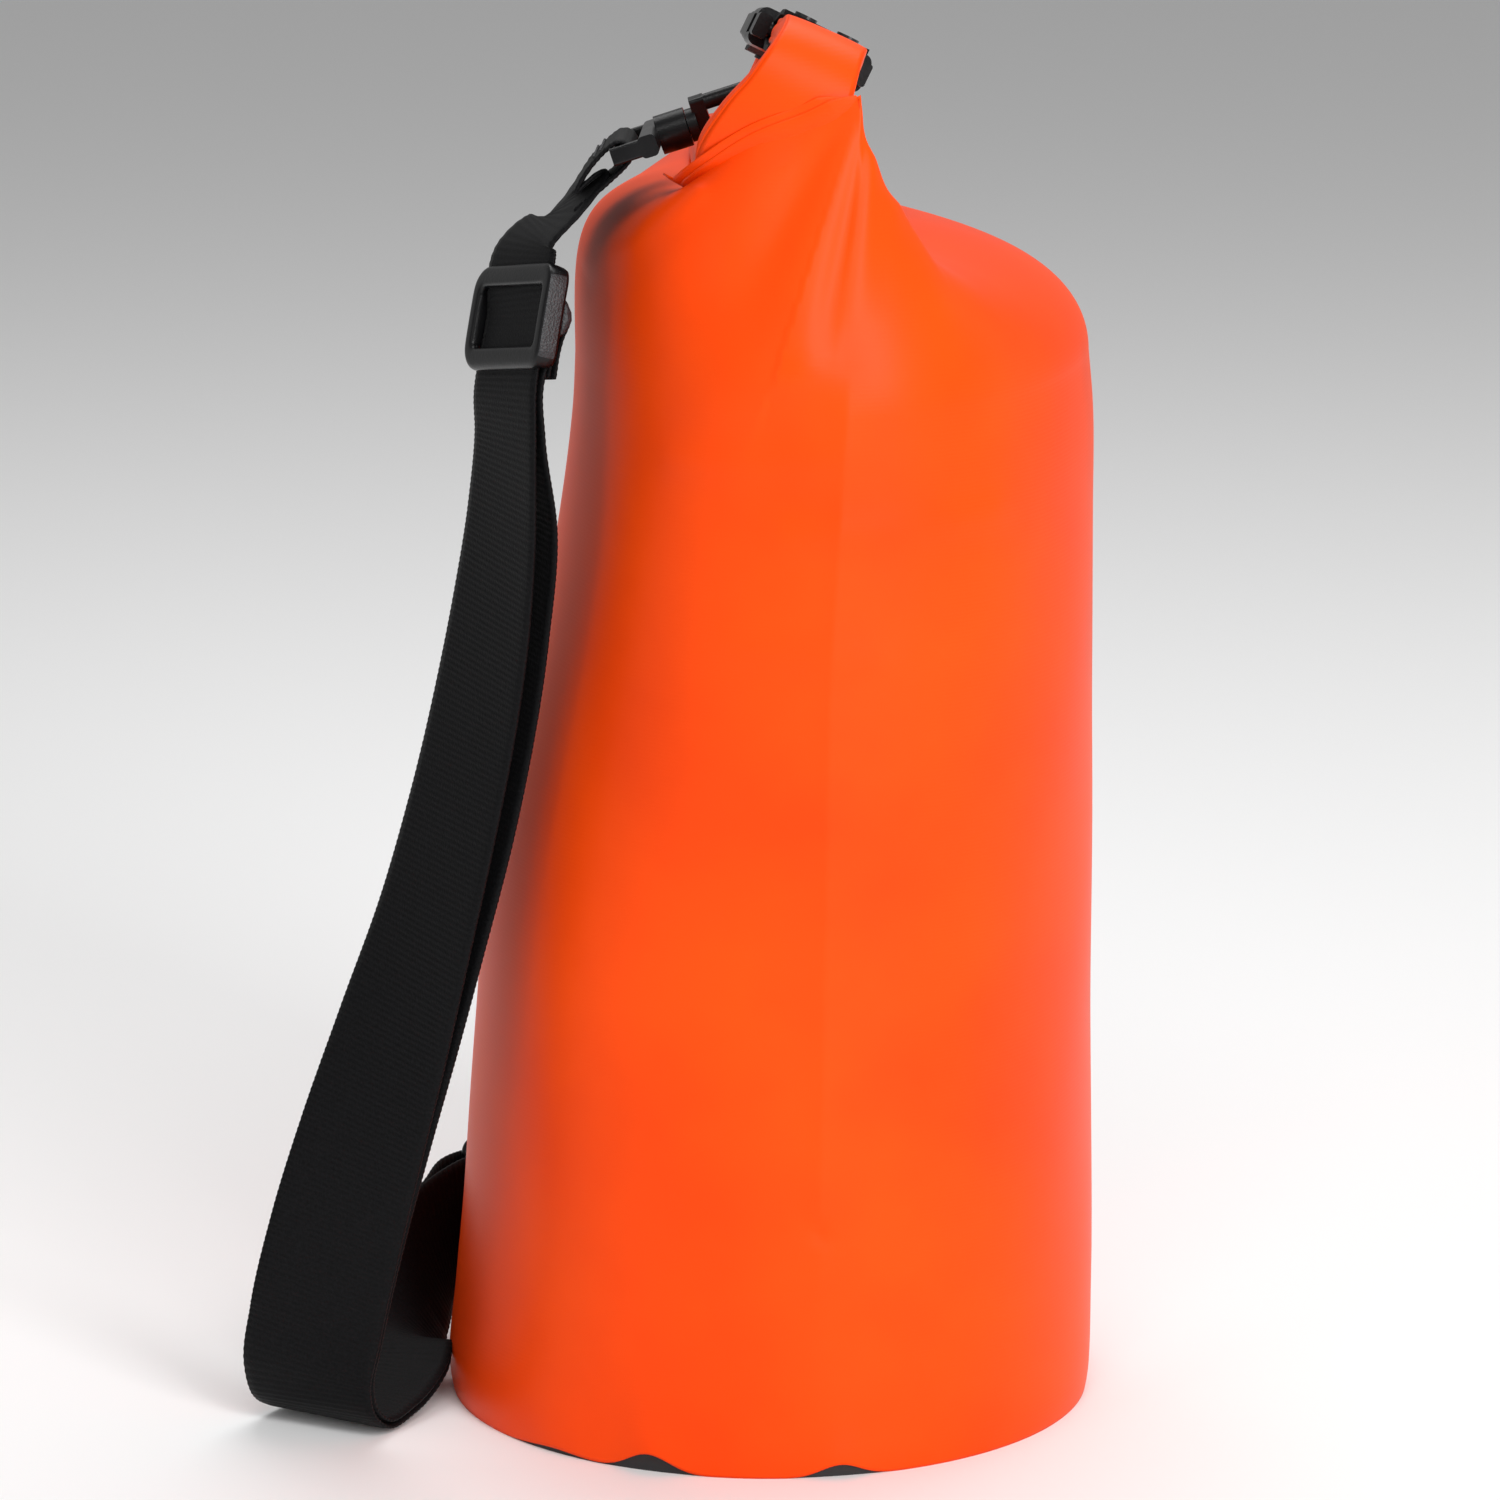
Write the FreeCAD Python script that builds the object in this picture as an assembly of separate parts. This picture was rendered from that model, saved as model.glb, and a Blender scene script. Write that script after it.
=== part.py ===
import FreeCAD, Part
import os
from math import sin, cos, radians, pi

V = FreeCAD.Vector
os.makedirs("parts", exist_ok=True)

# Dry bag of about 10 litres, standing on its base.  Millimetres.
# Origin: centre of the base, on the ground.  +Z up, -Y front, the shoulder strap hangs on the -X side.
# The mouth is rolled about an axis along Y and its two ends are clipped together into a carrying hoop.

# ---- driving sizes -------------------------------------------------------------------------------
TUBE_R = 91.5               # radius of the welded tube at the base
TUBE_WALL = 0.8             # coated tarpaulin with its lap weld
SHOULDER_Z = 300.0          # height where the tube starts to close towards the roll
SHOULDER_HALF_X = 71.0      # half width of the tube across the flattened top
SHOULDER_SHIFT = 16.5       # the filled top stands this far to +X
BASE_T = 1.2                # base disc
BASE_FLANGE = 14.0          # upturned weld flange of the base disc
WELD_GAP = 0.05             # between welded faces

ROLL_ORIGIN = V(-7.0, 0.0, 350.0)   # middle of the hoop's lowest stretch
ROLL_LEAN = 26.0            # the hoop leans to +X by this angle
ROLL_T = 9.0                # pressed thickness of the roll
ROLL_W = 30.0               # width of the roll
ROLL_HALF_NEAR = 50.0       # straight stretch from the middle to the near bend
ROLL_HALF_FAR = 62.0        # straight stretch from the middle to the far bend
NEAR_BEND_R = 27.0
NEAR_FOLD_R = 14.0
FAR_BEND_R = 14.0
NEAR_END = 18.0             # straight end of the roll before the buckle, near side
FAR_END = 35.0              # the same on the far side
BUCKLE_DIP = 8.2            # the buckle slopes down to the far side by this angle

STRIP_T = 1.0               # each of the two stiffening strips in the core of the roll
STRIP_W = 24.0
STRIP_GAP = 0.4             # between the two strips
STRIP_CLEAR = 0.3           # between a strip and the tarpaulin round it

TAB_W = 25.0                # webbing of the two buckle tabs
WEB_T = 1.5                 # thickness of all webbing
BUCKLE_W = 34.0
BUCKLE_T = 11.0
BUCKLE_L = 58.0             # both halves, clipped
BAR_D = 4.2                 # webbing bars of the buckle
PRONG_W = 2.6               # spring arms of the buckle
PRONG_T = 4.0
PRONG_REACH = 15.4          # hinge to the tip of an arm
BUCKLE_CLEAR = 0.4          # round the arms, inside the socket

RING_D = 3.4                # wire of the two rings
RING_W = 21.0               # inside width of the upper D-ring
RING_TAB_W = 18.0
RING_AT_U = 38.0            # place of the upper D-ring along the hoop
RING_AT_B = 11.0            # and across it

ROD_D = 4.4                 # rods of the snap hook
ROD_PITCH = 10.4            # centre to centre
HOOK_L = 30.0               # collar to the centre of the bow
HOOK_COLLAR = V(-22.0, -38.0, 367.5)
HOOK_RISE = 18.0            # the hook rises to +X by this angle
HOOK_TILT = 12.0            # turn of the hook's plane about its own length
PIN_R = 2.2                 # swivel pin
RUN_CLEAR = 0.25            # running clearance of the swivel and the gate
GATE_PIN_R = 0.9
GATE_AT = 8.6               # gate's pin, from the collar

STRAP_W = 40.0
STRAP_PITCH = 2.0           # between the strap's two layers, centre to centre
SLIDER_L = 33.0
SLIDER_SIDE = 4.6           # side rails of the slider
SLIDER_AT = V(-68.5, -52.0, 317.0)
SLIDER_DOWN = V(-0.16, -0.26, -0.95)
SLIDER_ACROSS = V(0.44, -0.88, 0.17)
SLIDE_TRAVEL = 3.0
FIT = 0.5                   # webbing to the sides of its slots

LOW_RING_Z = 34.0           # height of the lower ring's middle
LOW_RING_AT = 148.0         # bearing of the lower ring round the tube, from +X
PATCH_T = 0.9
PATCH_MARGIN = 7.0         # patch above and below the tab that it carries
THREAD_D = 0.7

# ---- frames ---------------------------------------------------------------------------------------
class Frame:
    """An origin with three unit directions; place() moves a shape drawn about 0,0,0 into it."""

    def __init__(self, origin, x, z_hint):
        self.o = origin
        self.x = V(x).normalize()
        self.z = V(z_hint - self.x * z_hint.dot(self.x)).normalize()
        self.y = self.z.cross(self.x)

    def at(self, x, y=0.0, z=0.0):
        return self.o + self.x * x + self.y * y + self.z * z

    def place(self, shape):
        m = FreeCAD.Matrix(
            self.x.x, self.y.x, self.z.x, self.o.x,
            self.x.y, self.y.y, self.z.y, self.o.y,
            self.x.z, self.y.z, self.z.z, self.o.z,
            0, 0, 0, 1)
        moved = shape.copy()
        moved.Placement = FreeCAD.Placement(m).multiply(shape.Placement)
        return moved


def export(shape, node):
    for solid in shape.Solids:
        assert solid.isValid() and solid.Volume > 0, node
    shape.exportStep("parts/" + node + ".step")
    print(node, len(shape.Solids), round(shape.Volume / 1000.0, 3), "cm3")


def block(x0, x1, y0, y1, z0, z1, round_r=0.0, axis="z"):
    box = Part.makeBox(x1 - x0, y1 - y0, z1 - z0, V(x0, y0, z0))
    if round_r <= 0:
        return box
    along = {"x": 0, "y": 1, "z": 2}[axis]
    edges = []
    for e in box.Edges:
        d = e.Vertexes[1].Point - e.Vertexes[0].Point
        if abs(abs(d[along]) - e.Length) < 1e-6:
            edges.append(e)
    return box.makeFillet(round_r, edges)


# ---- the hoop's plane: u towards the front, h up and leaning, b across the roll -------------------
LEAN = radians(ROLL_LEAN)
U = V(0, -1, 0)
H = V(sin(LEAN), 0, cos(LEAN))
B = V(cos(LEAN), 0, -sin(LEAN))


def hoop(u, h, b=0.0):
    return ROLL_ORIGIN + U * u + H * h + B * b


def near_rise():
    """Straight rise that brings the roll's near end onto the line of the buckle,
    with the far end's place and the near end's u."""
    c = cos(radians(BUCKLE_DIP))
    s = sin(radians(BUCKLE_DIP))
    far_u = -ROLL_HALF_FAR - FAR_BEND_R * s + FAR_END * c
    far_h = FAR_BEND_R * (1 + c) + FAR_END * s
    near_u = ROLL_HALF_NEAR + NEAR_BEND_R - NEAR_FOLD_R - NEAR_FOLD_R * s - NEAR_END * c
    near_h = NEAR_BEND_R + NEAR_FOLD_R * c - NEAR_END * s
    return far_h + (near_u - far_u) * s / c - near_h, (far_u, far_h), near_u


def hoop_route(short):
    """Centre line of the roll from its far end to its near end: lines and tangent arcs."""
    rise, far_end, near_u = near_rise()
    c = cos(radians(BUCKLE_DIP))
    s = sin(radians(BUCKLE_DIP))
    start = (far_end[0] - short * c, far_end[1] - short * s)
    moves = [
        ("line", FAR_END - short),
        ("arc", FAR_BEND_R, 180.0 - BUCKLE_DIP),
        ("line", ROLL_HALF_FAR + ROLL_HALF_NEAR),
        ("arc", NEAR_BEND_R, 90.0),
        ("line", rise),
        ("arc", NEAR_FOLD_R, 90.0 + BUCKLE_DIP),
        ("line", NEAR_END - short),
    ]
    return start, 180.0 + BUCKLE_DIP, moves


def route_side(d, short):
    """One long side of a strip at a distance d to the left of the roll's centre line."""
    (u, h), heading, moves = hoop_route(short)
    a = radians(heading)
    edges = []
    for move in moves:
        left = V(-sin(a), cos(a), 0)
        here = V(u, h, 0)
        if move[0] == "line":
            there = here + V(cos(a), sin(a), 0) * move[1]
            edges.append(Part.LineSegment(here + left * d, there + left * d).toShape())
        else:
            r, turn = move[1], radians(move[2])
            centre = here + left * r
            mid = V(-sin(a + turn / 2), cos(a + turn / 2), 0)
            a += turn
            end = V(-sin(a), cos(a), 0)
            arc = Part.Arc(here + left * d, centre - mid * (r - d), centre - end * (r - d))
            edges.append(arc.toShape())
            there = centre - end * r
        u, h = there.x, there.y
    return edges


def from_hoop_plane(shape):
    """A shape drawn with x as u and y as h goes to its place; its z runs across the roll."""
    across = U.cross(H)
    m = FreeCAD.Matrix(
        U.x, H.x, across.x, ROLL_ORIGIN.x,
        U.y, H.y, across.y, ROLL_ORIGIN.y,
        U.z, H.z, across.z, ROLL_ORIGIN.z,
        0, 0, 0, 1)
    moved = shape.copy()
    moved.Placement = FreeCAD.Placement(m).multiply(shape.Placement)
    return moved


def band(offset, thickness, width, short=0.0):
    """A strip that follows the roll's route at an offset from its centre line."""
    one = route_side(offset - thickness / 2, short)
    two = route_side(offset + thickness / 2, short)
    caps = [
        Part.LineSegment(one[0].firstVertex().Point, two[0].firstVertex().Point).toShape(),
        Part.LineSegment(one[-1].lastVertex().Point, two[-1].lastVertex().Point).toShape(),
    ]
    face = Part.Face(Part.Wire(Part.__sortEdges__(one + two + caps)))
    solid = face.extrude(V(0, 0, width))
    solid.translate(V(0, 0, -width / 2))
    return from_hoop_plane(solid)


# ---- the tube: a loft of closed sections from the round base to the flattened top -----------------
def section(centre, half_x, half_y, lean=0.0):
    """An elliptical section, longest along Y, whose plane leans to +X."""
    across = V(cos(radians(lean)), 0, -sin(radians(lean)))
    ellipse = Part.Ellipse(centre + V(0, half_y, 0), centre - across * half_x, centre)
    return Part.Wire([ellipse.toShape()])


# the tube is round and upright as far up as the patch of the lower ring
STRAIGHT_Z = max(0.21 * SHOULDER_Z, LOW_RING_Z + STRAP_W / 2 + PATCH_MARGIN + 1.0)


def tube_form(inset, bottom):
    """Outer form of the tube, or its inner form when inset by the wall."""
    seat = ROLL_ORIGIN - H * (ROLL_T / 2 + inset)
    half_flat = ROLL_HALF_NEAR
    levels = [
        (V(0, 0, bottom), TUBE_R, TUBE_R, 0),
        (V(0, 0, STRAIGHT_Z), TUBE_R, TUBE_R, 0),
        (V(0.3 * SHOULDER_SHIFT, 0, 0.45 * SHOULDER_Z), 0.94 * TUBE_R, 1.06 * TUBE_R, 0),
        (V(0.95 * SHOULDER_SHIFT, 0, 0.72 * SHOULDER_Z), 1.06 * SHOULDER_HALF_X, 1.14 * TUBE_R, 0),
        (V(SHOULDER_SHIFT, 0, SHOULDER_Z), SHOULDER_HALF_X, 1.16 * TUBE_R, 0),
        (V(0.75 * SHOULDER_SHIFT, 0, SHOULDER_Z + 22), 0.9 * SHOULDER_HALF_X, 1.06 * TUBE_R, 5),
        (V(0, 0, (SHOULDER_Z + 22 + seat.z) / 2), 0.55 * SHOULDER_HALF_X, 0.86 * TUBE_R, 16),
        (seat, ROLL_W / 2, half_flat, ROLL_LEAN),
    ]
    wires = []
    for centre, half_x, half_y, lean in levels:
        wires.append(section(centre, half_x - inset, half_y - inset, lean))
    return Part.makeLoft(wires, True, True)


def bag_tube():
    """Thin wall, open at the hem, where the base disc is welded in."""
    return tube_form(0.0, 0.0).cut(tube_form(TUBE_WALL, -1.0))


def base_disc():
    r = TUBE_R - TUBE_WALL - WELD_GAP
    disc = Part.makeCylinder(r, BASE_T)
    flange = Part.makeCylinder(r, BASE_FLANGE)
    flange = flange.cut(Part.makeCylinder(r - BASE_T, BASE_FLANGE))
    return disc.fuse(flange).removeSplitter()


# ---- the roll and the two stiffening strips in its core -------------------------------------------
CORE_T = 2 * STRIP_T + STRIP_GAP + 2 * STRIP_CLEAR
CORE_SHORT = 6.0


def mouth_roll():
    roll = band(0.0, ROLL_T, ROLL_W)
    core = band(0.0, CORE_T, STRIP_W + 2 * STRIP_CLEAR, CORE_SHORT - STRIP_CLEAR)
    return roll.cut(core)


def stiffener(side):
    return band(side * (STRIP_T + STRIP_GAP) / 2, STRIP_T, STRIP_W, CORE_SHORT)


# ---- side-release buckle: x runs from the far half to the near half -------------------------------
def buckle_frame():
    rise, far_end, near_u = near_rise()
    s = sin(radians(BUCKLE_DIP))
    c = cos(radians(BUCKLE_DIP))
    gap = (near_u - far_end[0]) / c
    mid = hoop(far_end[0] + gap * c / 2, far_end[1] + gap * s / 2)
    return Frame(mid, U * c + H * s, H * c - U * s), gap


BUCKLE, BUCKLE_GAP = buckle_frame()
BAR_AT = BUCKLE_L / 2 - BAR_D
SOCKET_END = BAR_AT - 7.0       # where the solid part of a half stops
JOIN = -4.0                     # mouth of the socket
ARM_Y = BUCKLE_W / 2 - 5.3      # middle of a spring arm
SOCKET_Y = ARM_Y + PRONG_W / 2 + 2 * BUCKLE_CLEAR
SOCKET_Z = PRONG_T / 2 + 2 * BUCKLE_CLEAR
HINGE_X = JOIN - 0.3 + PRONG_W / 2 + 0.05


def buckle_end(side):
    """Two rails and the webbing bar at one end of the buckle."""
    x0, x1 = sorted((side * (SOCKET_END - 1.0), side * (BAR_AT + BAR_D / 2)))
    shape = None
    for s in (-1, 1):
        y0, y1 = sorted((s * (TAB_W / 2 + FIT), s * BUCKLE_W / 2))
        rail = block(x0, x1, y0, y1, -BUCKLE_T * 0.3, BUCKLE_T * 0.3, 0.8, "x")
        shape = rail if shape is None else shape.fuse(rail)
    bar = Part.makeCylinder(BAR_D / 2, BUCKLE_W - 1, V(side * BAR_AT, -BUCKLE_W / 2 + 0.5, 0), V(0, 1, 0))
    return shape.fuse(bar)


def buckle_female():
    shell = block(JOIN, SOCKET_END, -BUCKLE_W / 2, BUCKLE_W / 2, -BUCKLE_T / 2, BUCKLE_T / 2, 2.5, "x")
    hollow_end = HINGE_X + PRONG_REACH + 1.6
    shell = shell.cut(block(JOIN - 1, hollow_end, -SOCKET_Y, SOCKET_Y, -SOCKET_Z, SOCKET_Z))
    window = block(HINGE_X + 5.2, hollow_end, -BUCKLE_W, BUCKLE_W, -SOCKET_Z, SOCKET_Z)
    return BUCKLE.place(shell.cut(window).fuse(buckle_end(1)).removeSplitter())


def buckle_male():
    base = block(-SOCKET_END, JOIN - 0.3, -BUCKLE_W / 2, BUCKLE_W / 2, -BUCKLE_T * 0.4, BUCKLE_T * 0.4, 2.0, "x")
    tongue = block(JOIN - 1.0, HINGE_X + PRONG_REACH - 2, -2.5, 2.5, -PRONG_T / 2, PRONG_T / 2, 0.6, "x")
    return BUCKLE.place(base.fuse(tongue).fuse(buckle_end(-1)).removeSplitter())


def buckle_prong(side):
    """A spring arm: a round root, a straight arm and a barbed head that shows in the side window."""
    root = Part.makeCylinder(PRONG_W / 2, PRONG_T, V(HINGE_X, ARM_Y, -PRONG_T / 2))
    arm = block(HINGE_X, HINGE_X + PRONG_REACH - 4, ARM_Y - PRONG_W / 2, ARM_Y + PRONG_W / 2,
                -PRONG_T / 2, PRONG_T / 2)
    inner = ARM_Y - PRONG_W / 2
    outer = BUCKLE_W / 2 - 0.6
    head = Part.makePolygon([
        V(HINGE_X + 6.0, inner, 0),
        V(HINGE_X + PRONG_REACH, inner, 0),
        V(HINGE_X + PRONG_REACH, inner + 2.2, 0),
        V(HINGE_X + PRONG_REACH - 4.0, outer, 0),
        V(HINGE_X + 6.0, outer, 0),
        V(HINGE_X + 6.0, inner, 0),
    ])
    head = Part.Face(head).extrude(V(0, 0, PRONG_T))
    head.translate(V(0, 0, -PRONG_T / 2))
    shape = root.fuse(arm).fuse(head).removeSplitter()
    if side < 0:
        shape = shape.mirror(V(0, 0, 0), V(0, 1, 0))
    return BUCKLE.place(shape)


def loop_strip(bar_x, bar_r, leg_x, leg_half, end_x, width, frame):
    """Webbing that turns round a bar and lies with one leg on each face of what it holds.
    Drawn in the frame's x and z, and as wide as given along its y."""
    ri = bar_r + 0.2
    ro = ri + WEB_T
    s = 1 if leg_x > bar_x else -1

    def outline(r, half, end):
        top = [V(bar_x, 0, r), V(leg_x, 0, half), V(end, 0, half)]
        low = [V(end, 0, -half), V(leg_x, 0, -half), V(bar_x, 0, -r)]
        arc = Part.Arc(V(bar_x, 0, -r), V(bar_x - s * r, 0, 0), V(bar_x, 0, r)).toShape()
        line = Part.makePolygon(top + low)
        return Part.Face(Part.Wire(line.Edges + [arc]))

    def thick(face, w):
        solid = face.extrude(V(0, w, 0))
        solid.translate(V(0, -w / 2, 0))
        return solid

    strip = thick(outline(ro, leg_half + WEB_T, end_x), width)
    strip = strip.cut(thick(outline(ri, leg_half, end_x + s), width + 2))
    return frame.place(strip)


TAB_LEG = 13.0


def buckle_tab(side):
    """Webbing from the buckle's bar to both faces of the roll's end."""
    end = BUCKLE_GAP / 2
    return loop_strip(side * BAR_AT, BAR_D / 2, side * end, ROLL_T / 2 + 0.05,
                      side * (end + TAB_LEG), TAB_W, BUCKLE)


def tab_rivets():
    """Two hollow rivets through each tab and roll end: heads on both faces."""
    heads = []
    for side in (-1, 1):
        x = side * (BUCKLE_GAP / 2 + TAB_LEG * 0.5)
        for y in (-TAB_W / 4, TAB_W / 4):
            for face in (-1, 1):
                z = face * (ROLL_T / 2 + WEB_T + 0.1)
                head = Part.makeCylinder(3.2, 0.9, V(x, y, z), V(0, 0, face))
                heads.append(BUCKLE.place(head))
    return Part.makeCompound(heads)


# ---- swivel snap hook -----------------------------------------------------------------------------
HOOK_X = V(cos(radians(HOOK_RISE)), 0, sin(radians(HOOK_RISE)))
HOOK_Z = V(0, -1, 0) * cos(radians(HOOK_TILT)) + HOOK_X.cross(V(0, -1, 0)) * sin(radians(HOOK_TILT))
HOOK = Frame(HOOK_COLLAR, HOOK_X, HOOK_Z)
EYE_ACROSS = V(0.30, -0.94, 0.15)
HOOK_BASE = Frame(HOOK_COLLAR, HOOK_X, HOOK_X.cross(EYE_ACROSS))
HUB_L = 8.4
EYE_AT = -19.0
EYE_R = 2.2
ROD_R = ROD_D / 2
HALF_PITCH = ROD_PITCH / 2


def hook_base():
    hub = Part.makeCylinder(5.4, HUB_L, V(-HUB_L - RUN_CLEAR, 0, 0), V(1, 0, 0))
    cross = block(EYE_AT + EYE_R + WEB_T + 2.0, -HUB_L, -STRAP_W / 2 - 4, STRAP_W / 2 + 4, -3.0, 3.0, 1.4, "y")
    shape = hub.fuse(cross)
    for s in (-1, 1):
        y0, y1 = sorted((s * (STRAP_W / 2 + FIT), s * (STRAP_W / 2 + 4)))
        shape = shape.fuse(block(EYE_AT - EYE_R, -HUB_L - 1, y0, y1, -2.4, 2.4, 0.8, "x"))
    bar = Part.makeCylinder(EYE_R, STRAP_W + 7, V(EYE_AT, -STRAP_W / 2 - 3.5, 0), V(0, 1, 0))
    shape = shape.fuse(bar)
    bore = Part.makeCylinder(PIN_R + RUN_CLEAR, 20, V(-6.5, 0, 0), V(1, 0, 0))
    seat = Part.makeCylinder(3.6 + RUN_CLEAR, 2.6, V(-8.4, 0, 0), V(1, 0, 0))
    return HOOK_BASE.place(shape.cut(bore).cut(seat).removeSplitter())


def hook_body():
    pin = Part.makeCylinder(PIN_R, 8.5, V(-8.1, 0, 0), V(1, 0, 0))
    pin = pin.fuse(Part.makeCylinder(3.6, 1.8, V(-8.1, 0, 0), V(1, 0, 0)))
    collar = Part.makeCylinder(4.6, 2.6, V(0.0, 0, 0), V(1, 0, 0))
    root = block(2.0, 6.0, -HALF_PITCH - ROD_R, HALF_PITCH + ROD_R, -ROD_R, ROD_R, 1.0, "x")
    spine = Part.makeCylinder(ROD_R, HOOK_L - 4, V(4.0, HALF_PITCH, 0), V(1, 0, 0))
    bow = Part.makeTorus(HALF_PITCH, ROD_R, V(HOOK_L, 0, 0), V(0, 0, 1), -180, 180, 180)
    bow.rotate(V(HOOK_L, 0, 0), V(0, 0, 1), -90)
    stub = Part.makeCylinder(ROD_R, 1.4, V(HOOK_L - 1.2, -HALF_PITCH, 0), V(1, 0, 0))
    shape = pin.fuse([collar, root, spine, bow, stub])
    for s in (-1, 1):
        z0, z1 = sorted((s * 1.95, s * 3.4))
        cheek = block(3.0, GATE_AT + ROD_R, -HALF_PITCH - ROD_R, -HALF_PITCH + ROD_R, z0, z1)
        shape = shape.fuse(cheek)
    pin_hole = Part.makeCylinder(GATE_PIN_R, 10, V(GATE_AT, -HALF_PITCH, -5), V(0, 0, 1))
    return HOOK.place(shape.cut(pin_hole).removeSplitter())


def hook_gate():
    tang_z = 1.95 - RUN_CLEAR
    tang = Part.makeCylinder(ROD_R, 2 * tang_z, V(GATE_AT, -HALF_PITCH, -tang_z))
    tang = tang.fuse(block(GATE_AT, GATE_AT + 4, -HALF_PITCH - ROD_R, -HALF_PITCH + ROD_R, -tang_z, tang_z))
    start = GATE_AT + 3.2
    arm = Part.makeCylinder(ROD_R, HOOK_L - 1.5 - start, V(start, -HALF_PITCH, 0), V(1, 0, 0))
    thumb = block(GATE_AT + 9, GATE_AT + 15, -HALF_PITCH - ROD_R - 1.4, -HALF_PITCH, -1.5, 1.5, 0.5, "z")
    hole = Part.makeCylinder(GATE_PIN_R + 0.1, 10, V(GATE_AT, -HALF_PITCH, -5), V(0, 0, 1))
    return HOOK.place(tang.fuse(arm).fuse(thumb).cut(hole).removeSplitter())


def gate_pin():
    return HOOK.place(Part.makeCylinder(GATE_PIN_R, 6.8, V(GATE_AT, -HALF_PITCH, -3.4), V(0, 0, 1)))


# ---- upper D-ring: its bow rests in the bow of the hook --------------------------------------------
RING_R = RING_D / 2
RING_BAR = hoop(RING_AT_U, ROLL_T / 2 + RING_R + 0.25 + WEB_T + 0.1, RING_AT_B)
HOOKED_AT = HOOK_L + HALF_PITCH - ROD_R - RING_R - 0.2


def ring_frame():
    """x runs from the flat bar to the bow, z is square to the ring."""
    caught = HOOK.at(HOOKED_AT)
    reach = caught - RING_BAR
    reach = reach - U * reach.dot(U)
    return Frame(RING_BAR, reach, reach.cross(U)), reach.Length


UPPER_RING, RING_DEPTH = ring_frame()


def closed_ring(frame, width, depth, corner_bar, corner_bow):
    """A wire ring: a straight bar at x = 0 and a bow at x = depth, both along y."""
    w = width / 2 + RING_R
    one = [V(0, 0, 0), V(0, w, 0), V(depth, w, 0), V(depth, 0, 0)]
    edges = []
    corners = ((one[1], corner_bar), (one[2], corner_bow))
    start = one[0]
    for i, (p, r) in enumerate(corners):
        before = (one[i] - p).normalize()
        after = (one[i + 2] - p).normalize()
        a = p + before * r
        b = p + after * r
        centre = a + after * r
        mid = centre + (p - centre).normalize() * r
        if (a - start).Length > 1e-6:
            edges.append(Part.LineSegment(start, a).toShape())
        edges.append(Part.Arc(a, mid, b).toShape())
        start = b
    if (one[3] - start).Length > 1e-6:
        edges.append(Part.LineSegment(start, one[3]).toShape())
    path = Part.Wire(edges)
    profile = Part.Wire([Part.makeCircle(RING_R, one[0], V(0, 1, 0))])
    side = path.makePipeShell([profile], True, False)
    other = side.mirror(V(0, 0, 0), V(0, 1, 0))
    return frame.place(side.fuse(other))


def upper_ring():
    return closed_ring(UPPER_RING, RING_W, RING_DEPTH, RING_D * 0.8, RING_W / 2 - 1.0)


def upper_ring_tab():
    """A short webbing loop round the ring's flat bar, sewn down on the upper face of the roll."""
    frame = Frame(RING_BAR, B * -1, H)
    drop = RING_R + 0.2 + WEB_T
    legs = 16.0
    strip = loop_strip(0, RING_R, 4.5, 0.3, legs, RING_TAB_W, frame)
    foot = block(4.5, legs, -RING_TAB_W / 2, RING_TAB_W / 2, -drop - 0.05, -0.3 - WEB_T / 2)
    return strip.fuse(frame.place(foot)).removeSplitter()


# ---- shoulder strap -------------------------------------------------------------------------------
SLIDER = Frame(SLIDER_AT, SLIDER_DOWN, SLIDER_DOWN.cross(SLIDER_ACROSS))
EYE = HOOK_BASE.at(EYE_AT)
LOW_R = TUBE_R + PATCH_T + RING_R + 2 * WEB_T + 1.4


def round_tube(bearing, r, z):
    a = radians(bearing)
    return V(r * cos(a), r * sin(a), z)


LOW_BAR = round_tube(LOW_RING_AT, LOW_R, LOW_RING_Z)
RING_GAP = 9.0
LOW_TANGENT = V(-sin(radians(LOW_RING_AT)), cos(radians(LOW_RING_AT)), 0)
STRAP_BAR = LOW_BAR + LOW_TANGENT * RING_GAP
SLIDER_RUN = SLIDER_L / 2 + SLIDE_TRAVEL + 1.5

# middle of the strap and the direction across it, from the slider to the lower ring
ROUTE = [
    (V(-71.8, -58.5, 286), V(0.43, -0.89, 0.11)),
    (V(-73.0, -58.5, 262), V(0.48, -0.87, 0.05)),
    (V(-76.5, -57, 233), V(0.55, -0.83, 0.0)),
    (V(-81.5, -56, 205), V(0.60, -0.80, 0.0)),
    (V(-88.0, -57, 176), V(0.64, -0.77, 0.0)),
    (V(-95.5, -58, 147), V(0.69, -0.72, -0.02)),
    (V(-104.0, -58, 118), V(0.79, -0.61, -0.03)),
    (V(-113.0, -58, 88), V(0.87, -0.49, -0.04)),
    (V(-121.0, -57, 59), V(0.92, -0.39, -0.05)),
    (V(-127.0, -55, 33), V(0.93, -0.37, -0.04)),
    (V(-129.5, -53, 17), V(0.90, -0.43, -0.02)),
    (V(-128.0, -50, 8), V(0.88, -0.47, -0.0)),
    (V(-124.0, -43, 2.6), V(0.87, -0.49, -0.02)),
    (V(-117.0, -31, 3.8), V(0.83, -0.55, -0.06)),
    (V(-111.0, -17, 9.0), V(0.60, -0.75, -0.25)),
    (V(-110.5, -2, 16.5), V(0.15, -0.80, -0.58)),
    (V(-104.5, 13, 24), V(0.0, -0.50, -0.86)),
    (V(-99.0, 25, 31), V(0.0, -0.20, -0.98)),
]
# the route was laid for this tube and strap, and moves out with a larger one
LAID_TUBE_R = 91.5
LAID_STRAP_W = 40.0


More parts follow.
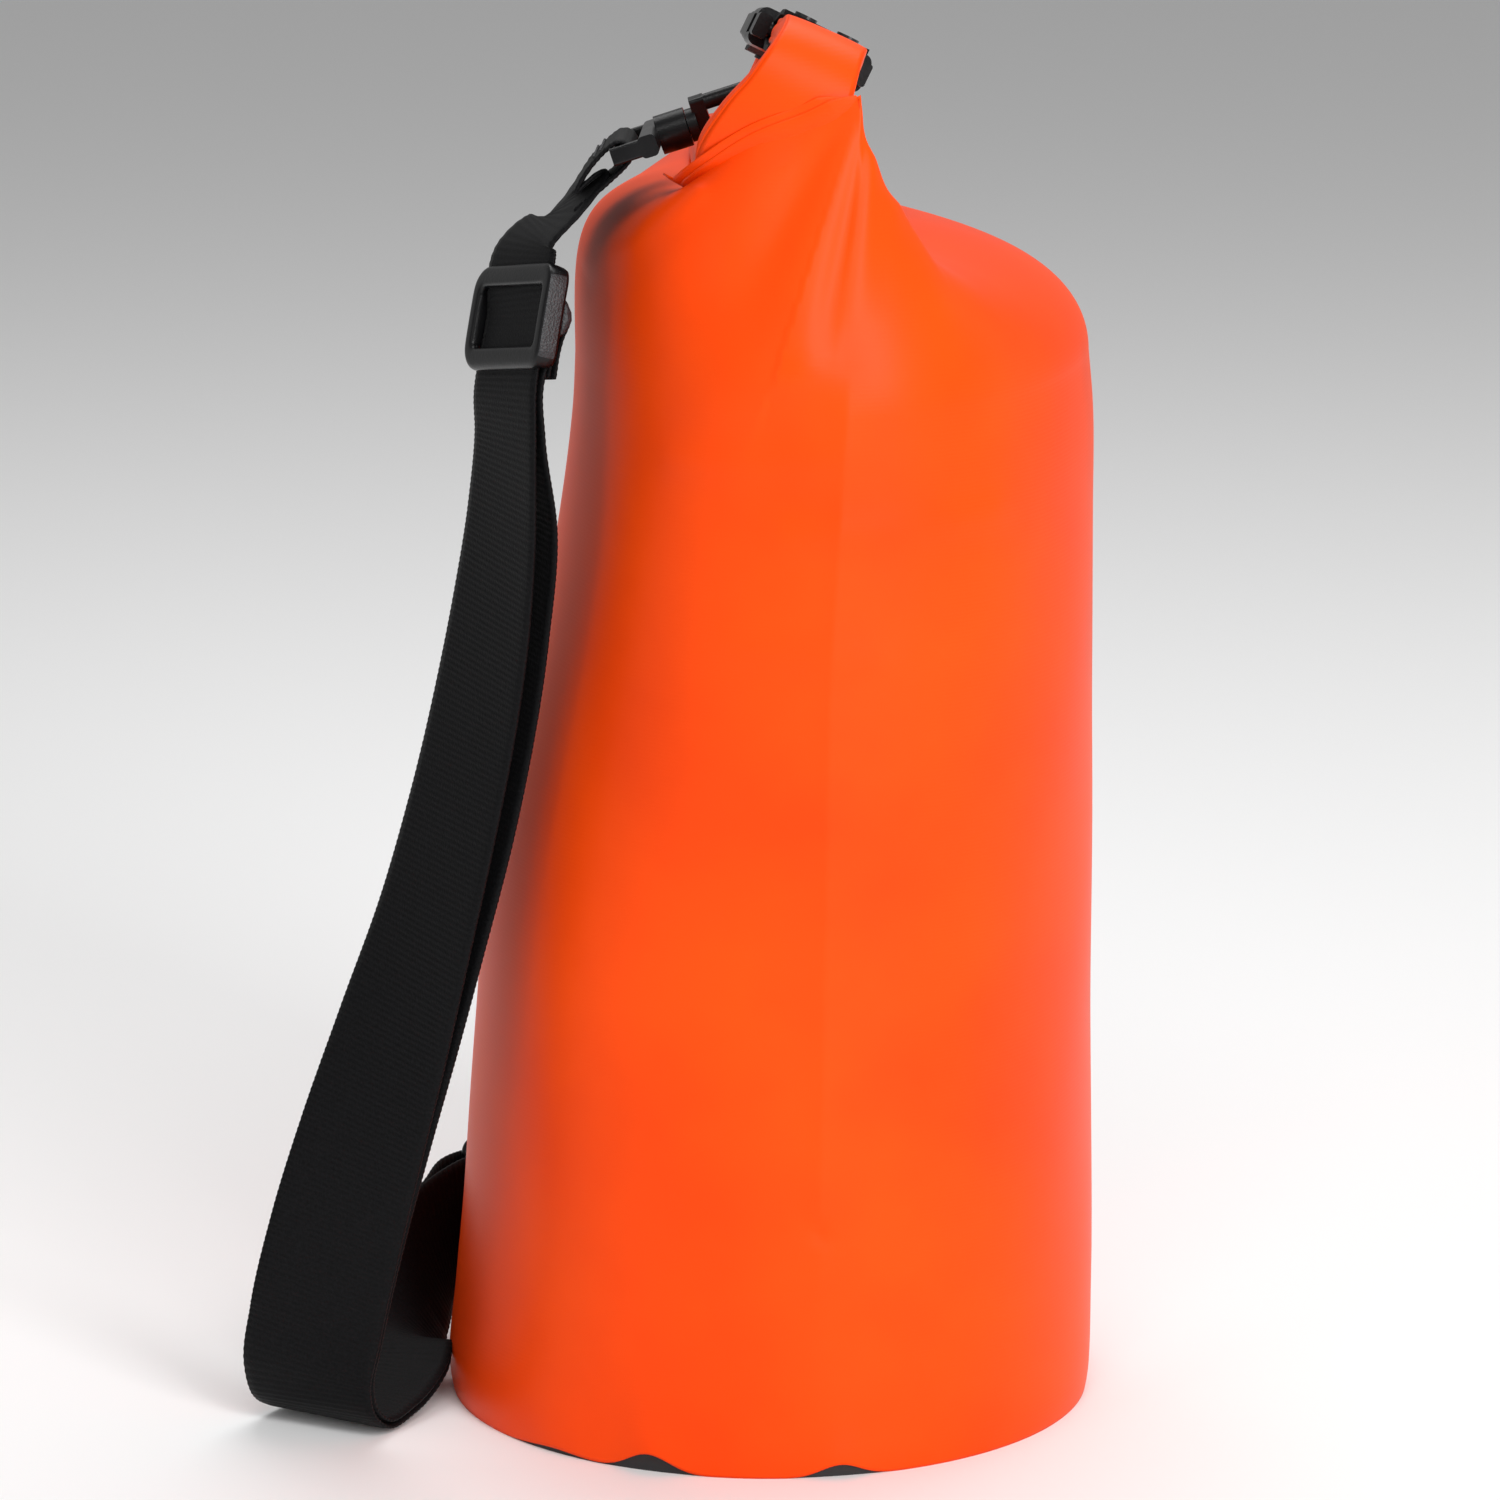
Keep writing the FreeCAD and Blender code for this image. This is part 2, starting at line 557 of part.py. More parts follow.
def keep_clear(stations):
    """Moves each station out from the tube's axis by what the tube and half the strap have grown,
    from nothing at the slider to the whole of it a little lower."""
    grown = TUBE_R - LAID_TUBE_R + max(0.0, STRAP_W - LAID_STRAP_W) / 2
    moved = []
    for p, across in stations:
        share = min(1.0, (stations[0][0].z - p.z) / 80)
        moved.append((p + V(p.x, p.y, 0).normalize() * grown * share, across))
    return moved


ROUTE = keep_clear(ROUTE)


def ribbon(stations, width, offset=0.0):
    """A flat strip through stations of (middle, across), raised by an offset along its normal.
    A station may add a lift of its own."""
    wires = []
    last = len(stations) - 1
    for i, station in enumerate(stations):
        p, across = station[0], station[1]
        lift = offset + (station[2] if len(station) > 2 else 0.0)
        t = (stations[min(last, i + 1)][0] - stations[max(0, i - 1)][0]).normalize()
        w = (across - t * across.dot(t)).normalize()
        n = t.cross(w)
        c = p + n * lift
        dw = w * (width / 2)
        dn = n * (WEB_T / 2)
        wires.append(Part.makePolygon([c - dw - dn, c + dw - dn, c + dw + dn, c - dw + dn, c - dw - dn]))
    return Part.makeLoft(wires, True, True)


def half_turn(bar_r, centre, across, away, width):
    """Webbing round the side of a bar that faces away from its two legs."""
    ri = bar_r + 0.2
    start = centre - across * (width / 2)
    turn = Part.makeCylinder(ri + WEB_T, width, start, across)
    turn = turn.cut(Part.makeCylinder(ri, width, start, across))
    side = away.cross(across).normalize()
    keep = Part.makeBox(width + 2, 20, 10)
    frame = Frame(centre - across * (width / 2 + 1) - side * 10, across, away)
    return turn.common(frame.place(keep))


def outward(bearing):
    return V(cos(radians(bearing)), sin(radians(bearing)), 0)


# the webbing leaves the hook's eye square to its bar, and EYE_OUT is its outer face there
PULL = SLIDER.at(-SLIDER_RUN) - EYE
LEAD = (PULL - HOOK_BASE.y * PULL.dot(HOOK_BASE.y)).normalize()
EYE_OUT = LEAD.cross(HOOK_BASE.y)
EYE_OFF = EYE_R + 0.2 + WEB_T / 2
SEWN = 26.0


def strap_webbing():
    """One length of webbing: sewn round the hook's eye, down through the slider, along the outside
    to the lower ring, round it, and back up along the inside to just below the slider."""
    side = HOOK_BASE.y
    top = SLIDER.at(-SLIDER_RUN)
    lead = [
        (EYE + EYE_OUT * EYE_OFF, side),
        (EYE + EYE_OUT * EYE_OFF + LEAD * 8, side),
        (EYE + EYE_OUT * 0.5 + LEAD * SEWN * 0.75, side * 0.8 + SLIDER.y * 0.2),
        (EYE * 0.3 + top * 0.7, side * 0.3 + SLIDER.y * 0.7),
        (top, SLIDER.y),
        (SLIDER.at(SLIDER_RUN), SLIDER.y),
    ]
    tail = [
        (EYE - EYE_OUT * EYE_OFF, side),
        (EYE - EYE_OUT * EYE_OFF + LEAD * 8, side),
        (EYE - EYE_OUT * 1.5 + LEAD * SEWN * 0.75, side * 0.8 + SLIDER.y * 0.2),
    ]
    down = V(0, 0, -1)
    out = outward(LOW_RING_AT)
    arrive = LOW_TANGENT * -1
    off = RING_R + 0.2 + WEB_T / 2
    outer_end = [(STRAP_BAR + out * off - arrive * 8, down), (STRAP_BAR + out * off, down)]
    inner_end = [(p - out * 2 * off, w, STRAP_PITCH) for p, w in outer_end]
    outer = ribbon(lead + ROUTE + outer_end, STRAP_W)
    inner = ribbon([(SLIDER.at(SLIDER_RUN + 1.0), SLIDER.y)] + ROUTE + inner_end, STRAP_W, -STRAP_PITCH)
    eye_turn = half_turn(EYE_R, EYE, side, LEAD * -1, STRAP_W)
    low_turn = half_turn(RING_R, STRAP_BAR, V(0, 0, 1), arrive, STRAP_W)
    return outer.fuse([ribbon(tail, STRAP_W), inner, eye_turn, low_turn])


LOOP_BAR_R = 1.4
LOOP_Z = -(STRAP_PITCH + LOOP_BAR_R + 0.2 + WEB_T / 2)


def slider_frame():
    """Three-bar slider: two outer bars in front of the webbing and the middle bar behind it."""
    half_l = SLIDER_L / 2
    half_w = STRAP_W / 2 + FIT + SLIDER_SIDE
    z_low = LOOP_Z - LOOP_BAR_R - 0.4
    z_top = WEB_T / 2 + 0.35 + 3.4
    shape = None
    for s in (-1, 1):
        y0, y1 = sorted((s * (STRAP_W / 2 + FIT), s * half_w))
        rail = block(-half_l, half_l, y0, y1, z_low, z_top, 2.0, "y")
        shape = rail if shape is None else shape.fuse(rail)
        x0, x1 = sorted((s * (half_l - 6.5), s * half_l))
        bar = block(x0, x1, -half_w + 1, half_w - 1, WEB_T / 2 + 0.35, z_top, 1.4, "y")
        shape = shape.fuse(bar)
    middle = Part.makeCylinder(LOOP_BAR_R, 2 * half_w - 2, V(0, -half_w + 1, LOOP_Z), V(0, 1, 0))
    return SLIDER.place(shape.fuse(middle).removeSplitter())


def strap_end_loop():
    """The sewn end of the webbing round the slider's middle bar."""
    frame = Frame(SLIDER.at(0, 0, LOOP_Z), SLIDER.x, SLIDER.z)
    return loop_strip(0, LOOP_BAR_R, 6.0, 0.15, SLIDER_L / 2, STRAP_W - 1, frame)


def lower_ring():
    frame = Frame(LOW_BAR, LOW_TANGENT, LOW_TANGENT.cross(V(0, 0, 1)))
    return closed_ring(frame, STRAP_W + 2 * FIT, RING_GAP, RING_D * 0.8, RING_D * 0.8)


def ring_sector(r0, r1, a0, a1, z0, z1):
    """Part of a wall round the tube between two bearings."""
    wall = Part.makeCylinder(r1, z1 - z0, V(0, 0, z0), V(0, 0, 1), a1 - a0)
    wall = wall.cut(Part.makeCylinder(r0, z1 - z0, V(0, 0, z0)))
    wall.rotate(V(0, 0, 0), V(0, 0, 1), a0)
    return wall


PATCH_HALF_ANGLE = 22.0
TAB_HALF_ANGLE = 12.0


def lower_patch():
    """Reinforcing patch welded to the tube at the back."""
    r0 = TUBE_R + 0.02
    mid = LOW_RING_AT - TAB_HALF_ANGLE
    half_z = STRAP_W / 2 + PATCH_MARGIN
    z0 = LOW_RING_Z - half_z
    return ring_sector(r0, r0 + PATCH_T, mid - PATCH_HALF_ANGLE, mid + PATCH_HALF_ANGLE, z0, z0 + 2 * half_z)


def lower_tab():
    """Webbing sewn to the patch, turned round the flat bar of the lower ring."""
    r0 = TUBE_R + PATCH_T + 0.05
    z0 = LOW_RING_Z - STRAP_W / 2
    a1 = LOW_RING_AT - 2.6
    foot = ring_sector(r0, r0 + 2 * WEB_T, a1 - 2 * TAB_HALF_ANGLE, a1, z0, z0 + STRAP_W)
    out = outward(LOW_RING_AT)
    off = RING_R + 0.2 + WEB_T / 2
    down = V(0, 0, -1)
    turn = half_turn(RING_R, LOW_BAR, V(0, 0, 1), LOW_TANGENT, STRAP_W)
    joins = []
    for side, r in ((1, r0 + 1.5 * WEB_T), (-1, r0 + 0.5 * WEB_T)):
        seat = round_tube(a1 - 1.0, r, LOW_RING_Z)
        leg = LOW_BAR + out * (side * off)
        joins.append(ribbon([(leg, down), (leg - LOW_TANGENT * 1.5, down), (seat, down)], STRAP_W))
    shape = foot.fuse([turn] + joins)
    free = Part.makeCylinder(RING_R + 0.2, STRAP_W + 2, LOW_BAR - V(0, 0, STRAP_W / 2 + 1), V(0, 0, 1))
    return shape.cut(free).removeSplitter()


def strap_stitches():
    """Rows of thread across the strap's sewn overlap below the hook."""
    rows = []
    across = HOOK_BASE.y
    for i in range(2):
        centre = EYE + EYE_OUT * (EYE_OFF + WEB_T / 2 + THREAD_D / 2 + 0.02) + LEAD * (3.5 + 2.5 * i)
        for k in range(8):
            start = centre + across * (-STRAP_W / 2 + 3.0 + k * (STRAP_W - 6.0) / 8)
            rows.append(Part.makeCylinder(THREAD_D / 2, 3.2, start, across))
    return Part.makeCompound(rows)


# ---- write every piece ----------------------------------------------------------------------------
export(bag_tube(), "bag_tube")
export(base_disc(), "base_disc")
export(mouth_roll(), "mouth_roll")
export(stiffener(1), "stiffener_strip_inner")
export(stiffener(-1), "stiffener_strip_outer")
export(buckle_tab(1), "buckle_tab_near")
export(buckle_tab(-1), "buckle_tab_far")
export(tab_rivets(), "tab_rivets")
export(buckle_female(), "buckle_female")
export(buckle_male(), "buckle_male")
export(buckle_prong(1), "buckle_prong_right")
export(buckle_prong(-1), "buckle_prong_left")
export(upper_ring_tab(), "upper_ring_tab")
export(upper_ring(), "upper_ring")
export(hook_base(), "hook_base")
export(hook_body(), "hook_body")
export(hook_gate(), "hook_gate")
export(gate_pin(), "hook_gate_pin")
export(strap_webbing(), "strap_webbing")
export(strap_stitches(), "strap_stitches")
export(slider_frame(), "slider_frame")
export(strap_end_loop(), "strap_end_loop")
export(lower_ring(), "lower_ring")
export(lower_tab(), "lower_ring_tab")
export(lower_patch(), "lower_patch")
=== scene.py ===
import bpy
import bmesh
import numpy as np
from math import radians
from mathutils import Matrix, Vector


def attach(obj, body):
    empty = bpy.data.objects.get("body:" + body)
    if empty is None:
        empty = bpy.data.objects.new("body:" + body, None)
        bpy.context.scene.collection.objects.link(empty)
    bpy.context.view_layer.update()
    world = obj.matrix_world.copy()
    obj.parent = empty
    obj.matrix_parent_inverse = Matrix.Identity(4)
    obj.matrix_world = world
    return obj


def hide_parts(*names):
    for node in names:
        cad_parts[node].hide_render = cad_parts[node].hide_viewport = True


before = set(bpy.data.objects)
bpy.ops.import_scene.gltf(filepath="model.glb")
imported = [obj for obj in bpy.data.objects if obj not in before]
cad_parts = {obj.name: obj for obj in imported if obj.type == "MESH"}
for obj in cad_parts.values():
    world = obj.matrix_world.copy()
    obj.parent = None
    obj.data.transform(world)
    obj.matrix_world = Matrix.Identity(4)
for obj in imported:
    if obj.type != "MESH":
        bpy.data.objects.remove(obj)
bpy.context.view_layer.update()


# ---- Studio --------------------------------------------------------------------------------------
# The bag stands on a plain pale floor under big soft lamps. The camera looks a little down on it
# from its narrow side, where one end of the rolled mouth comes forward.
MM = 0.001

studio = bpy.context.scene
studio.view_settings.view_transform = "Standard"
world = bpy.data.worlds.new("studio_white")
studio.world = world
world.use_nodes = True
background = world.node_tree.nodes["Background"]
background.inputs["Color"].default_value = (1.0, 1.0, 1.0, 1.0)
background.inputs["Strength"].default_value = 0.34


def aim(thing, place, target):
    thing.location = place
    thing.rotation_euler = (Vector(target) - Vector(place)).to_track_quat("-Z", "Y").to_euler()


camera_data = bpy.data.cameras.new("studio_camera")
camera_data.lens = 174.7
camera_data.sensor_width = 36.0
camera = bpy.data.objects.new("studio_camera", camera_data)
studio.collection.objects.link(camera)
aim(camera, (0.0, -2.0, 0.646), (-0.0056, 0.0, 0.185))
studio.camera = camera


def softbox(name, place, target, size, watts):
    lamp = bpy.data.lights.new(name, "AREA")
    lamp.shape = "RECTANGLE"
    lamp.size, lamp.size_y = size
    lamp.energy = watts
    holder = bpy.data.objects.new(name, lamp)
    studio.collection.objects.link(holder)
    aim(holder, place, target)


softbox("key_front_right", (0.9, -1.6, 0.9), (0.02, 0.0, 0.2), (0.6, 1.3), 24.0)
softbox("key_front_top", (0.1, -1.3, 1.7), (0.0, 0.0, 0.3), (1.1, 0.6), 12.0)
softbox("fill_front_left", (-1.4, -1.5, 0.8), (-0.02, 0.0, 0.2), (0.5, 1.3), 2.5)
softbox("top_back", (0.1, 0.6, 1.6), (0.0, 0.0, 0.3), (1.4, 1.0), 14.0)
softbox("rim_right", (1.4, 0.4, 0.5), (0.0, 0.0, 0.2), (0.4, 1.2), 1.0)


def linear(hex_colour):
    """A Blender colour from an sRGB hex value."""
    parts = [int(hex_colour[i:i + 2], 16) / 255 for i in (1, 3, 5)]
    straight = [c / 12.92 if c <= 0.04045 else ((c + 0.055) / 1.055) ** 2.4 for c in parts]
    return tuple(straight) + (1.0,)


def add(tree, kind, settings=None, links=None):
    """One node, with its settings, its input values and its input links."""
    node = tree.nodes.new(kind)
    for key, value in (settings or {}).items():
        if hasattr(node, key):
            setattr(node, key, value)
        else:
            node.inputs[key].default_value = value
    for key, source in (links or {}).items():
        tree.links.new(source, node.inputs[key])
    return node


def start_material(name):
    """A new material with its shader and its tree."""
    material = bpy.data.materials.new(name)
    material.use_nodes = True
    return material, material.node_tree, material.node_tree.nodes["Principled BSDF"]


def make_object(name, points, faces, smooth=True):
    """A mesh object at the origin from points in metres."""
    mesh = bpy.data.meshes.new(name)
    mesh.from_pydata([tuple(p) for p in points], [], faces)
    mesh.validate()
    mesh.update()
    work = bmesh.new()
    work.from_mesh(mesh)
    bmesh.ops.recalc_face_normals(work, faces=work.faces)
    work.to_mesh(mesh)
    work.free()
    if smooth:
        for polygon in mesh.polygons:
            polygon.use_smooth = True
    thing = bpy.data.objects.new(name, mesh)
    studio.collection.objects.link(thing)
    return thing


floor_material, tree, shader = start_material("painted_studio_floor")
shader.inputs["Base Color"].default_value = linear("#F4F4F4")
shader.inputs["Roughness"].default_value = 0.7
FLOOR_HALF = 9
floor_corners = [(x * FLOOR_HALF, y * FLOOR_HALF, 0) for x, y in ((-1, -1), (1, -1), (1, 1), (-1, 1))]
floor = make_object("studio_floor", floor_corners, [(0, 1, 2, 3)])
floor.data.materials.append(floor_material)


# ---- Tarpaulin tube ------------------------------------------------------------------------------
# The body is one sheet of PVC-coated polyester welded into a tube. It stands round at the base,
# and its flattened mouth is rolled up, which pulls sharp folds into both narrow sides.
def curve_through(keys, at):
    """Smooth values at parameters, through keys of (parameter, value, value, ...)."""
    keys = np.array(keys, float)
    t, v = keys[:, 0], keys[:, 1:]
    slope = np.gradient(v, t, axis=0)
    at = np.asarray(at, float)
    k = np.clip(np.searchsorted(t, at) - 1, 0, len(t) - 2)
    span = (t[k + 1] - t[k])
    s = ((at - t[k]) / span)[..., None]
    m0 = slope[k] * span[..., None]
    m1 = slope[k + 1] * span[..., None]
    return ((2 * s**3 - 3 * s**2 + 1) * v[k] + (s**3 - 2 * s**2 + s) * m0
            + (3 * s**2 - 2 * s**3) * v[k + 1] + (s**3 - s**2) * m1)


TUBE_RADIUS = 91.6
TUBE_WALL = 0.8
SHOULDER = 300.0
# height, left edge, right edge of the tube
TUBE_EDGES = [
    (0, -91.4, 91.3), (8, -91.8, 91.6), (30, -89.6, 91.6), (53, -87.2, 91.6), (83, -84.9, 91.3),
    (112, -82.6, 91.0), (142, -80.2, 91.0), (171, -75.6, 91.0), (198, -69.6, 90.9),
    (226, -63.6, 90.9), (257, -58.8, 90.5), (285, -56.0, 89.8), (300, -55.2, 88.4)]

# the roll's own directions: u to the front, h up and leaning over, b across
HOOP_ORIGIN = np.array([-7.0, 0.0, 350.0])
LEAN = radians(26.0)
HOOP_U = np.array([0.0, -1.0, 0.0])
HOOP_H = np.array([np.sin(LEAN), 0.0, np.cos(LEAN)])
HOOP_B = np.array([np.cos(LEAN), 0.0, -np.sin(LEAN)])


def unit(v):
    v = np.asarray(v, float)
    return v / np.linalg.norm(v, axis=-1, keepdims=True)


def hoop(uhb):
    uhb = np.asarray(uhb, float)
    return HOOP_ORIGIN + uhb[..., :1] * HOOP_U + uhb[..., 1:2] * HOOP_H + uhb[..., 2:3] * HOOP_B


# where the tube's edge meets the roll, round the tube from the near crease by the left side
SEAT = [
    (0.0, 82.5, 42.4, 13.8), (0.02, 82.6, 36.5, 9.0), (0.045, 82.3, 30, 4), (0.075, 81.0, 19, -6),
    (0.105, 75.0, 6.5, -13), (0.135, 62, -1.8, -15.5), (0.165, 45, -5.4, -14.5), (0.25, 0, -5.4, -14),
    (0.34, -45, -5.4, -14), (0.40, -62, -5, -13), (0.45, -76, 1.5, -9), (0.5, -82, 14, 0),
    (0.55, -76, 1.5, 9), (0.60, -62, -5, 13), (0.66, -45, -5.4, 14), (0.75, 0, -5.4, 14),
    (0.84, 45, -5.4, 14), (0.87, 60, -2.5, 15), (0.91, 74, 6, 16.8), (0.95, 81.5, 19, 18.0),
    (0.98, 83.0, 33, 17.5), (1.0, 82.5, 42.4, 13.8)]
# how the wall comes in to the seat: lift above the shoulder, then the pull in X, Y and Z
SHOULDER_PULL = [
    (0.0, 26, 2, -6, -28), (0.06, 26, -4, -6, -24), (0.125, 28, -14, -12, -9), (0.19, 32, -25, -7, -3),
    (0.25, 34, -33, 0, -6), (0.31, 26, -29, 8, -12), (0.375, 20, -21, 14, -15), (0.44, 22, -11, 12, -20),
    (0.5, 26, 0, 10, -24), (0.625, 21, 28, 22, -9), (0.75, 24, 52, 0, 0), (0.875, 22, 47, -4, 0),
    (0.91, 22, 40, 4, 0), (0.94, 23, 33, 8, 0), (0.97, 25, 18, 4, -9), (1.0, 26, 2, -6, -28)]

AROUND = 480
round_at = np.arange(AROUND) / AROUND
turn = 2 * np.pi * round_at


def tube_ring(z):
    left, right = curve_through(TUBE_EDGES, np.array([z]))[0]
    half = (right - left) / 2
    deep = np.sqrt(2 * TUBE_RADIUS**2 - half**2)
    return np.stack([(left + right) / 2 - half * np.sin(turn), -deep * np.cos(turn),
                     np.full(AROUND, float(z))], axis=1)


ring_heights = np.concatenate([[0, 1, 2.5, 4.5, 7], np.linspace(10, SHOULDER, 117)])
levels = [tube_ring(z) for z in ring_heights]
start = levels[-1]
seat = hoop(curve_through(SEAT, round_at))
pull = curve_through(SHOULDER_PULL, round_at)
lift = start + np.stack([0 * turn, 0 * turn, pull[:, 0]], axis=1)
reach = seat + pull[:, 1:]
for t in np.linspace(0, 1, 91)[1:]:
    levels.append((1 - t)**3 * start + 3 * (1 - t)**2 * t * lift + 3 * (1 - t) * t**2 * reach
                  + t**3 * seat)
tube = np.array(levels)


def outward_normals(grid):
    along = np.roll(grid, -1, axis=1) - np.roll(grid, 1, axis=1)
    rise = np.gradient(grid, axis=0)
    normal = np.cross(rise, along)
    return normal / np.maximum(np.linalg.norm(normal, axis=2, keepdims=True), 1e-9)


def stroke_distance(grid, a, b):
    """Distance from a line drawn on the narrow side, and the place along it from 0 to 1."""
    a, b = np.array(a, float), np.array(b, float)
    x, z = grid[..., 0], grid[..., 2]
    run = b - a
    s = ((x - a[0]) * run[0] + (z - a[1]) * run[1]) / (run @ run)
    c = np.clip(s, 0, 1)
    return np.hypot(x - a[0] - c * run[0], z - a[1] - c * run[1]), c


# folds of the narrow side: start, end, height at each end, half width at each end, and whether
# the fold runs out before its end
NEAR_FOLDS = [
    ((26.0, 374), (13.0, 316), -1.0, -2.4, 2.0, 4.5, True),
    ((27.0, 372), (22.0, 322), 0.8, 1.3, 2.2, 6.0, True),
    ((18.0, 376), (-10.0, 326), -0.8, -1.6, 3.0, 9.0, True),
    ((10.0, 371), (-16.0, 338), 0.4, 0.8, 3.0, 8.0, True),
    ((27.0, 380), (36.0, 354), 1.2, 1.4, 2.5, 4.0, False),
    ((36.0, 354), (52.0, 340), 1.4, 0.8, 4.0, 6.0, True),
    ((-19.0, 356), (-52.0, 326), 1.0, 1.8, 2.5, 4.0, True)]
# lay-flat crease of both narrow sides: height, place across, sharpness
CREASE = [(40, 13.6, 0.0), (75, 13.8, 0.8), (150, 15.0, 1.0), (222, 16.0, 1.0), (261, 18.2, 1.0),
          (292, 20.0, 1.0), (312, 21.0, 0.0)]

# each side's folds fade out over the last 25 mm towards the middle of the broad faces
SIDE_FADE = 25.0
near = np.clip(-tube[..., 1] / SIDE_FADE, 0, 1)
far = np.clip(tube[..., 1] / SIDE_FADE, 0, 1)
out = outward_normals(tube)
push = np.zeros(tube.shape[:2])
for a, b, high_a, high_b, wide_a, wide_b, runs_out in NEAR_FOLDS:
    d, s = stroke_distance(tube, a, b)
    wide = wide_a + (wide_b - wide_a) * s
    high = (high_a + (high_b - high_a) * s) * (1 - s**3 if runs_out else 1)
    push += near * high * np.exp(-(d / wide)**2)
NEAR_CREASE_HIGH, FAR_CREASE_HIGH, CREASE_WIDE = 1.3, 1.6, 4.5
crease = np.array(CREASE, float)
crease_x = np.interp(tube[..., 2], crease[:, 0], crease[:, 1])
sharp = np.interp(tube[..., 2], crease[:, 0], crease[:, 2], left=0, right=0)
push += ((near * NEAR_CREASE_HIGH + far * FAR_CREASE_HIGH) * sharp
         * np.exp(-np.abs(tube[..., 0] - crease_x) / CREASE_WIDE))


# the tongue of cloth that hangs from the roll's near corner: soft on its left, sharp on its right
def soft_step(x):
    return 1 / (1 + np.exp(-np.clip(x, -30, 30)))


TONGUE_TOP, TONGUE_FOOT = np.array([24.5, 382.0]), np.array([3.5, 316.0])
down_it = unit(TONGUE_FOOT - TONGUE_TOP)
tongue_length = np.linalg.norm(TONGUE_FOOT - TONGUE_TOP)
offset = np.stack([tube[..., 0] - TONGUE_TOP[0], tube[..., 2] - TONGUE_TOP[1]], axis=-1)
reached = offset @ down_it
rightward = offset @ np.array([-down_it[1], down_it[0]])
share = np.clip(reached / tongue_length, 0, 1)
beyond = np.maximum(reached - tongue_length, 0)
softness = np.where(rightward > 0, 1.5 + 1.2 * share, 3.0 + 2.5 * share)
tongue = soft_step((1.5 + 8.0 * share - np.hypot(beyond, rightward)) / softness)
push += near * (0.5 + 2.9 * share) * tongue * (reached > -4)

# shallow wrinkles across the front: ends in X, ends in Z, height
WRINKLES = [(-25, 15, 285, 288, 0.45), (5, 60, 267, 270, 0.5), (-10, 35, 236, 232, 0.3)]
WRINKLE_WIDE = 5.0
for x0, x1, z0, z1, high in WRINKLES:
    d, s = stroke_distance(tube, (x0, z0), (x1, z1))
    push += near * high * np.exp(-(d / WRINKLE_WIDE)**2)
# the pinch at the foot of the crease: four short dents that run out from one point
PINCH_X, PINCH_Z = 13.8, 71.0
PINCH_DEEP, PINCH_WIDE = 0.55, 1.6
for ax, az in ((9, 5), (-8, 4), (7, -6), (-4, -9)):
    d, s = stroke_distance(tube, (PINCH_X, PINCH_Z), (PINCH_X + ax, PINCH_Z + az))
    push -= near * PINCH_DEEP * (1 - s) * np.exp(-(d / PINCH_WIDE)**2)

# the coated sheet never hangs quite even
height = tube[..., 2]
swell = (np.sin(turn * 3 + height / 47) * 0.55 + np.sin(turn * 5 - height / 31 + 1.3) * 0.35
         + np.sin(turn * 2 + height / 83 + 4.0) * 0.5 + np.sin(turn * 9 + height / 19) * 0.10)
push += swell * np.clip(height / 40, 0, 1) * np.clip((345 - height) / 60, 0, 1)
# all of it dies away over the last rows, so the sheet still meets the roll
SEAT_ROWS = 12
rows = np.arange(len(tube))[:, None]
push *= np.clip((len(tube) - 1 - rows) / SEAT_ROWS, 0, 1)
tube = tube + out * push[..., None]

# the hem turns in a little at the floor and is puckered up: place across, height, half width
HEM_HIGH, HEM_IN = 7.0, 0.006
PUCKERS = [(-33.0, 5.6, 8.0), (19.5, 3.8, 7.5), (-60.0, 1.5, 9.0)]
PUCKER_FADE, PUCKER_OUT = 30.0, 0.004
hem = np.clip(1 - height / HEM_HIGH, 0, 1)**2
tube[..., :2] *= (1 - HEM_IN * hem)[..., None]
for x, high, wide in PUCKERS:
    pucker = high * np.exp(-((tube[..., 0] - x) / wide)**2) * near
    tube[..., 2] += pucker * np.clip(1 - height / PUCKER_FADE, 0, 1)**2
    tube[..., :2] *= (1 + PUCKER_OUT * pucker * np.clip(1 - height / PUCKER_FADE, 0, 1))[..., None]


def grid_faces(rows, around):
    """Faces of a grid of points that closes on itself around."""
    faces = []
    for j in range(rows - 1):
        for i in range(around):
            k = (i + 1) % around
            low, high = j * around, (j + 1) * around
            faces.append((low + i, low + k, high + k, high + i))
    return faces


body = make_object("tarpaulin_tube", tube.reshape(-1, 3) * MM, grid_faces(len(tube), AROUND))
wall = body.modifiers.new("coated_sheet", "SOLIDIFY")
wall.thickness = TUBE_WALL * MM
wall.offset = -1.0

# PVC-coated polyester, calendered and satin: a smooth skin with the scrim just printing through,
# and slow changes of colour and sheen where the sheet has been handled and folded
coated, tree, shader = start_material("pvc_coated_polyester_calendered")
place = add(tree, "ShaderNodeTexCoord")
cloudy = add(tree, "ShaderNodeTexNoise", {"Scale": 14.0, "Detail": 3.0, "Roughness": 0.5},
             {"Vector": place.outputs["Object"]})
tint = add(tree, "ShaderNodeValToRGB", None, {"Fac": cloudy.outputs["Fac"]})
tint.color_ramp.elements[0].position = 0.35
tint.color_ramp.elements[0].color = linear("#F04302")
tint.color_ramp.elements[1].position = 0.68
tint.color_ramp.elements[1].color = linear("#FC4D04")
tree.links.new(tint.outputs["Color"], shader.inputs["Base Color"])
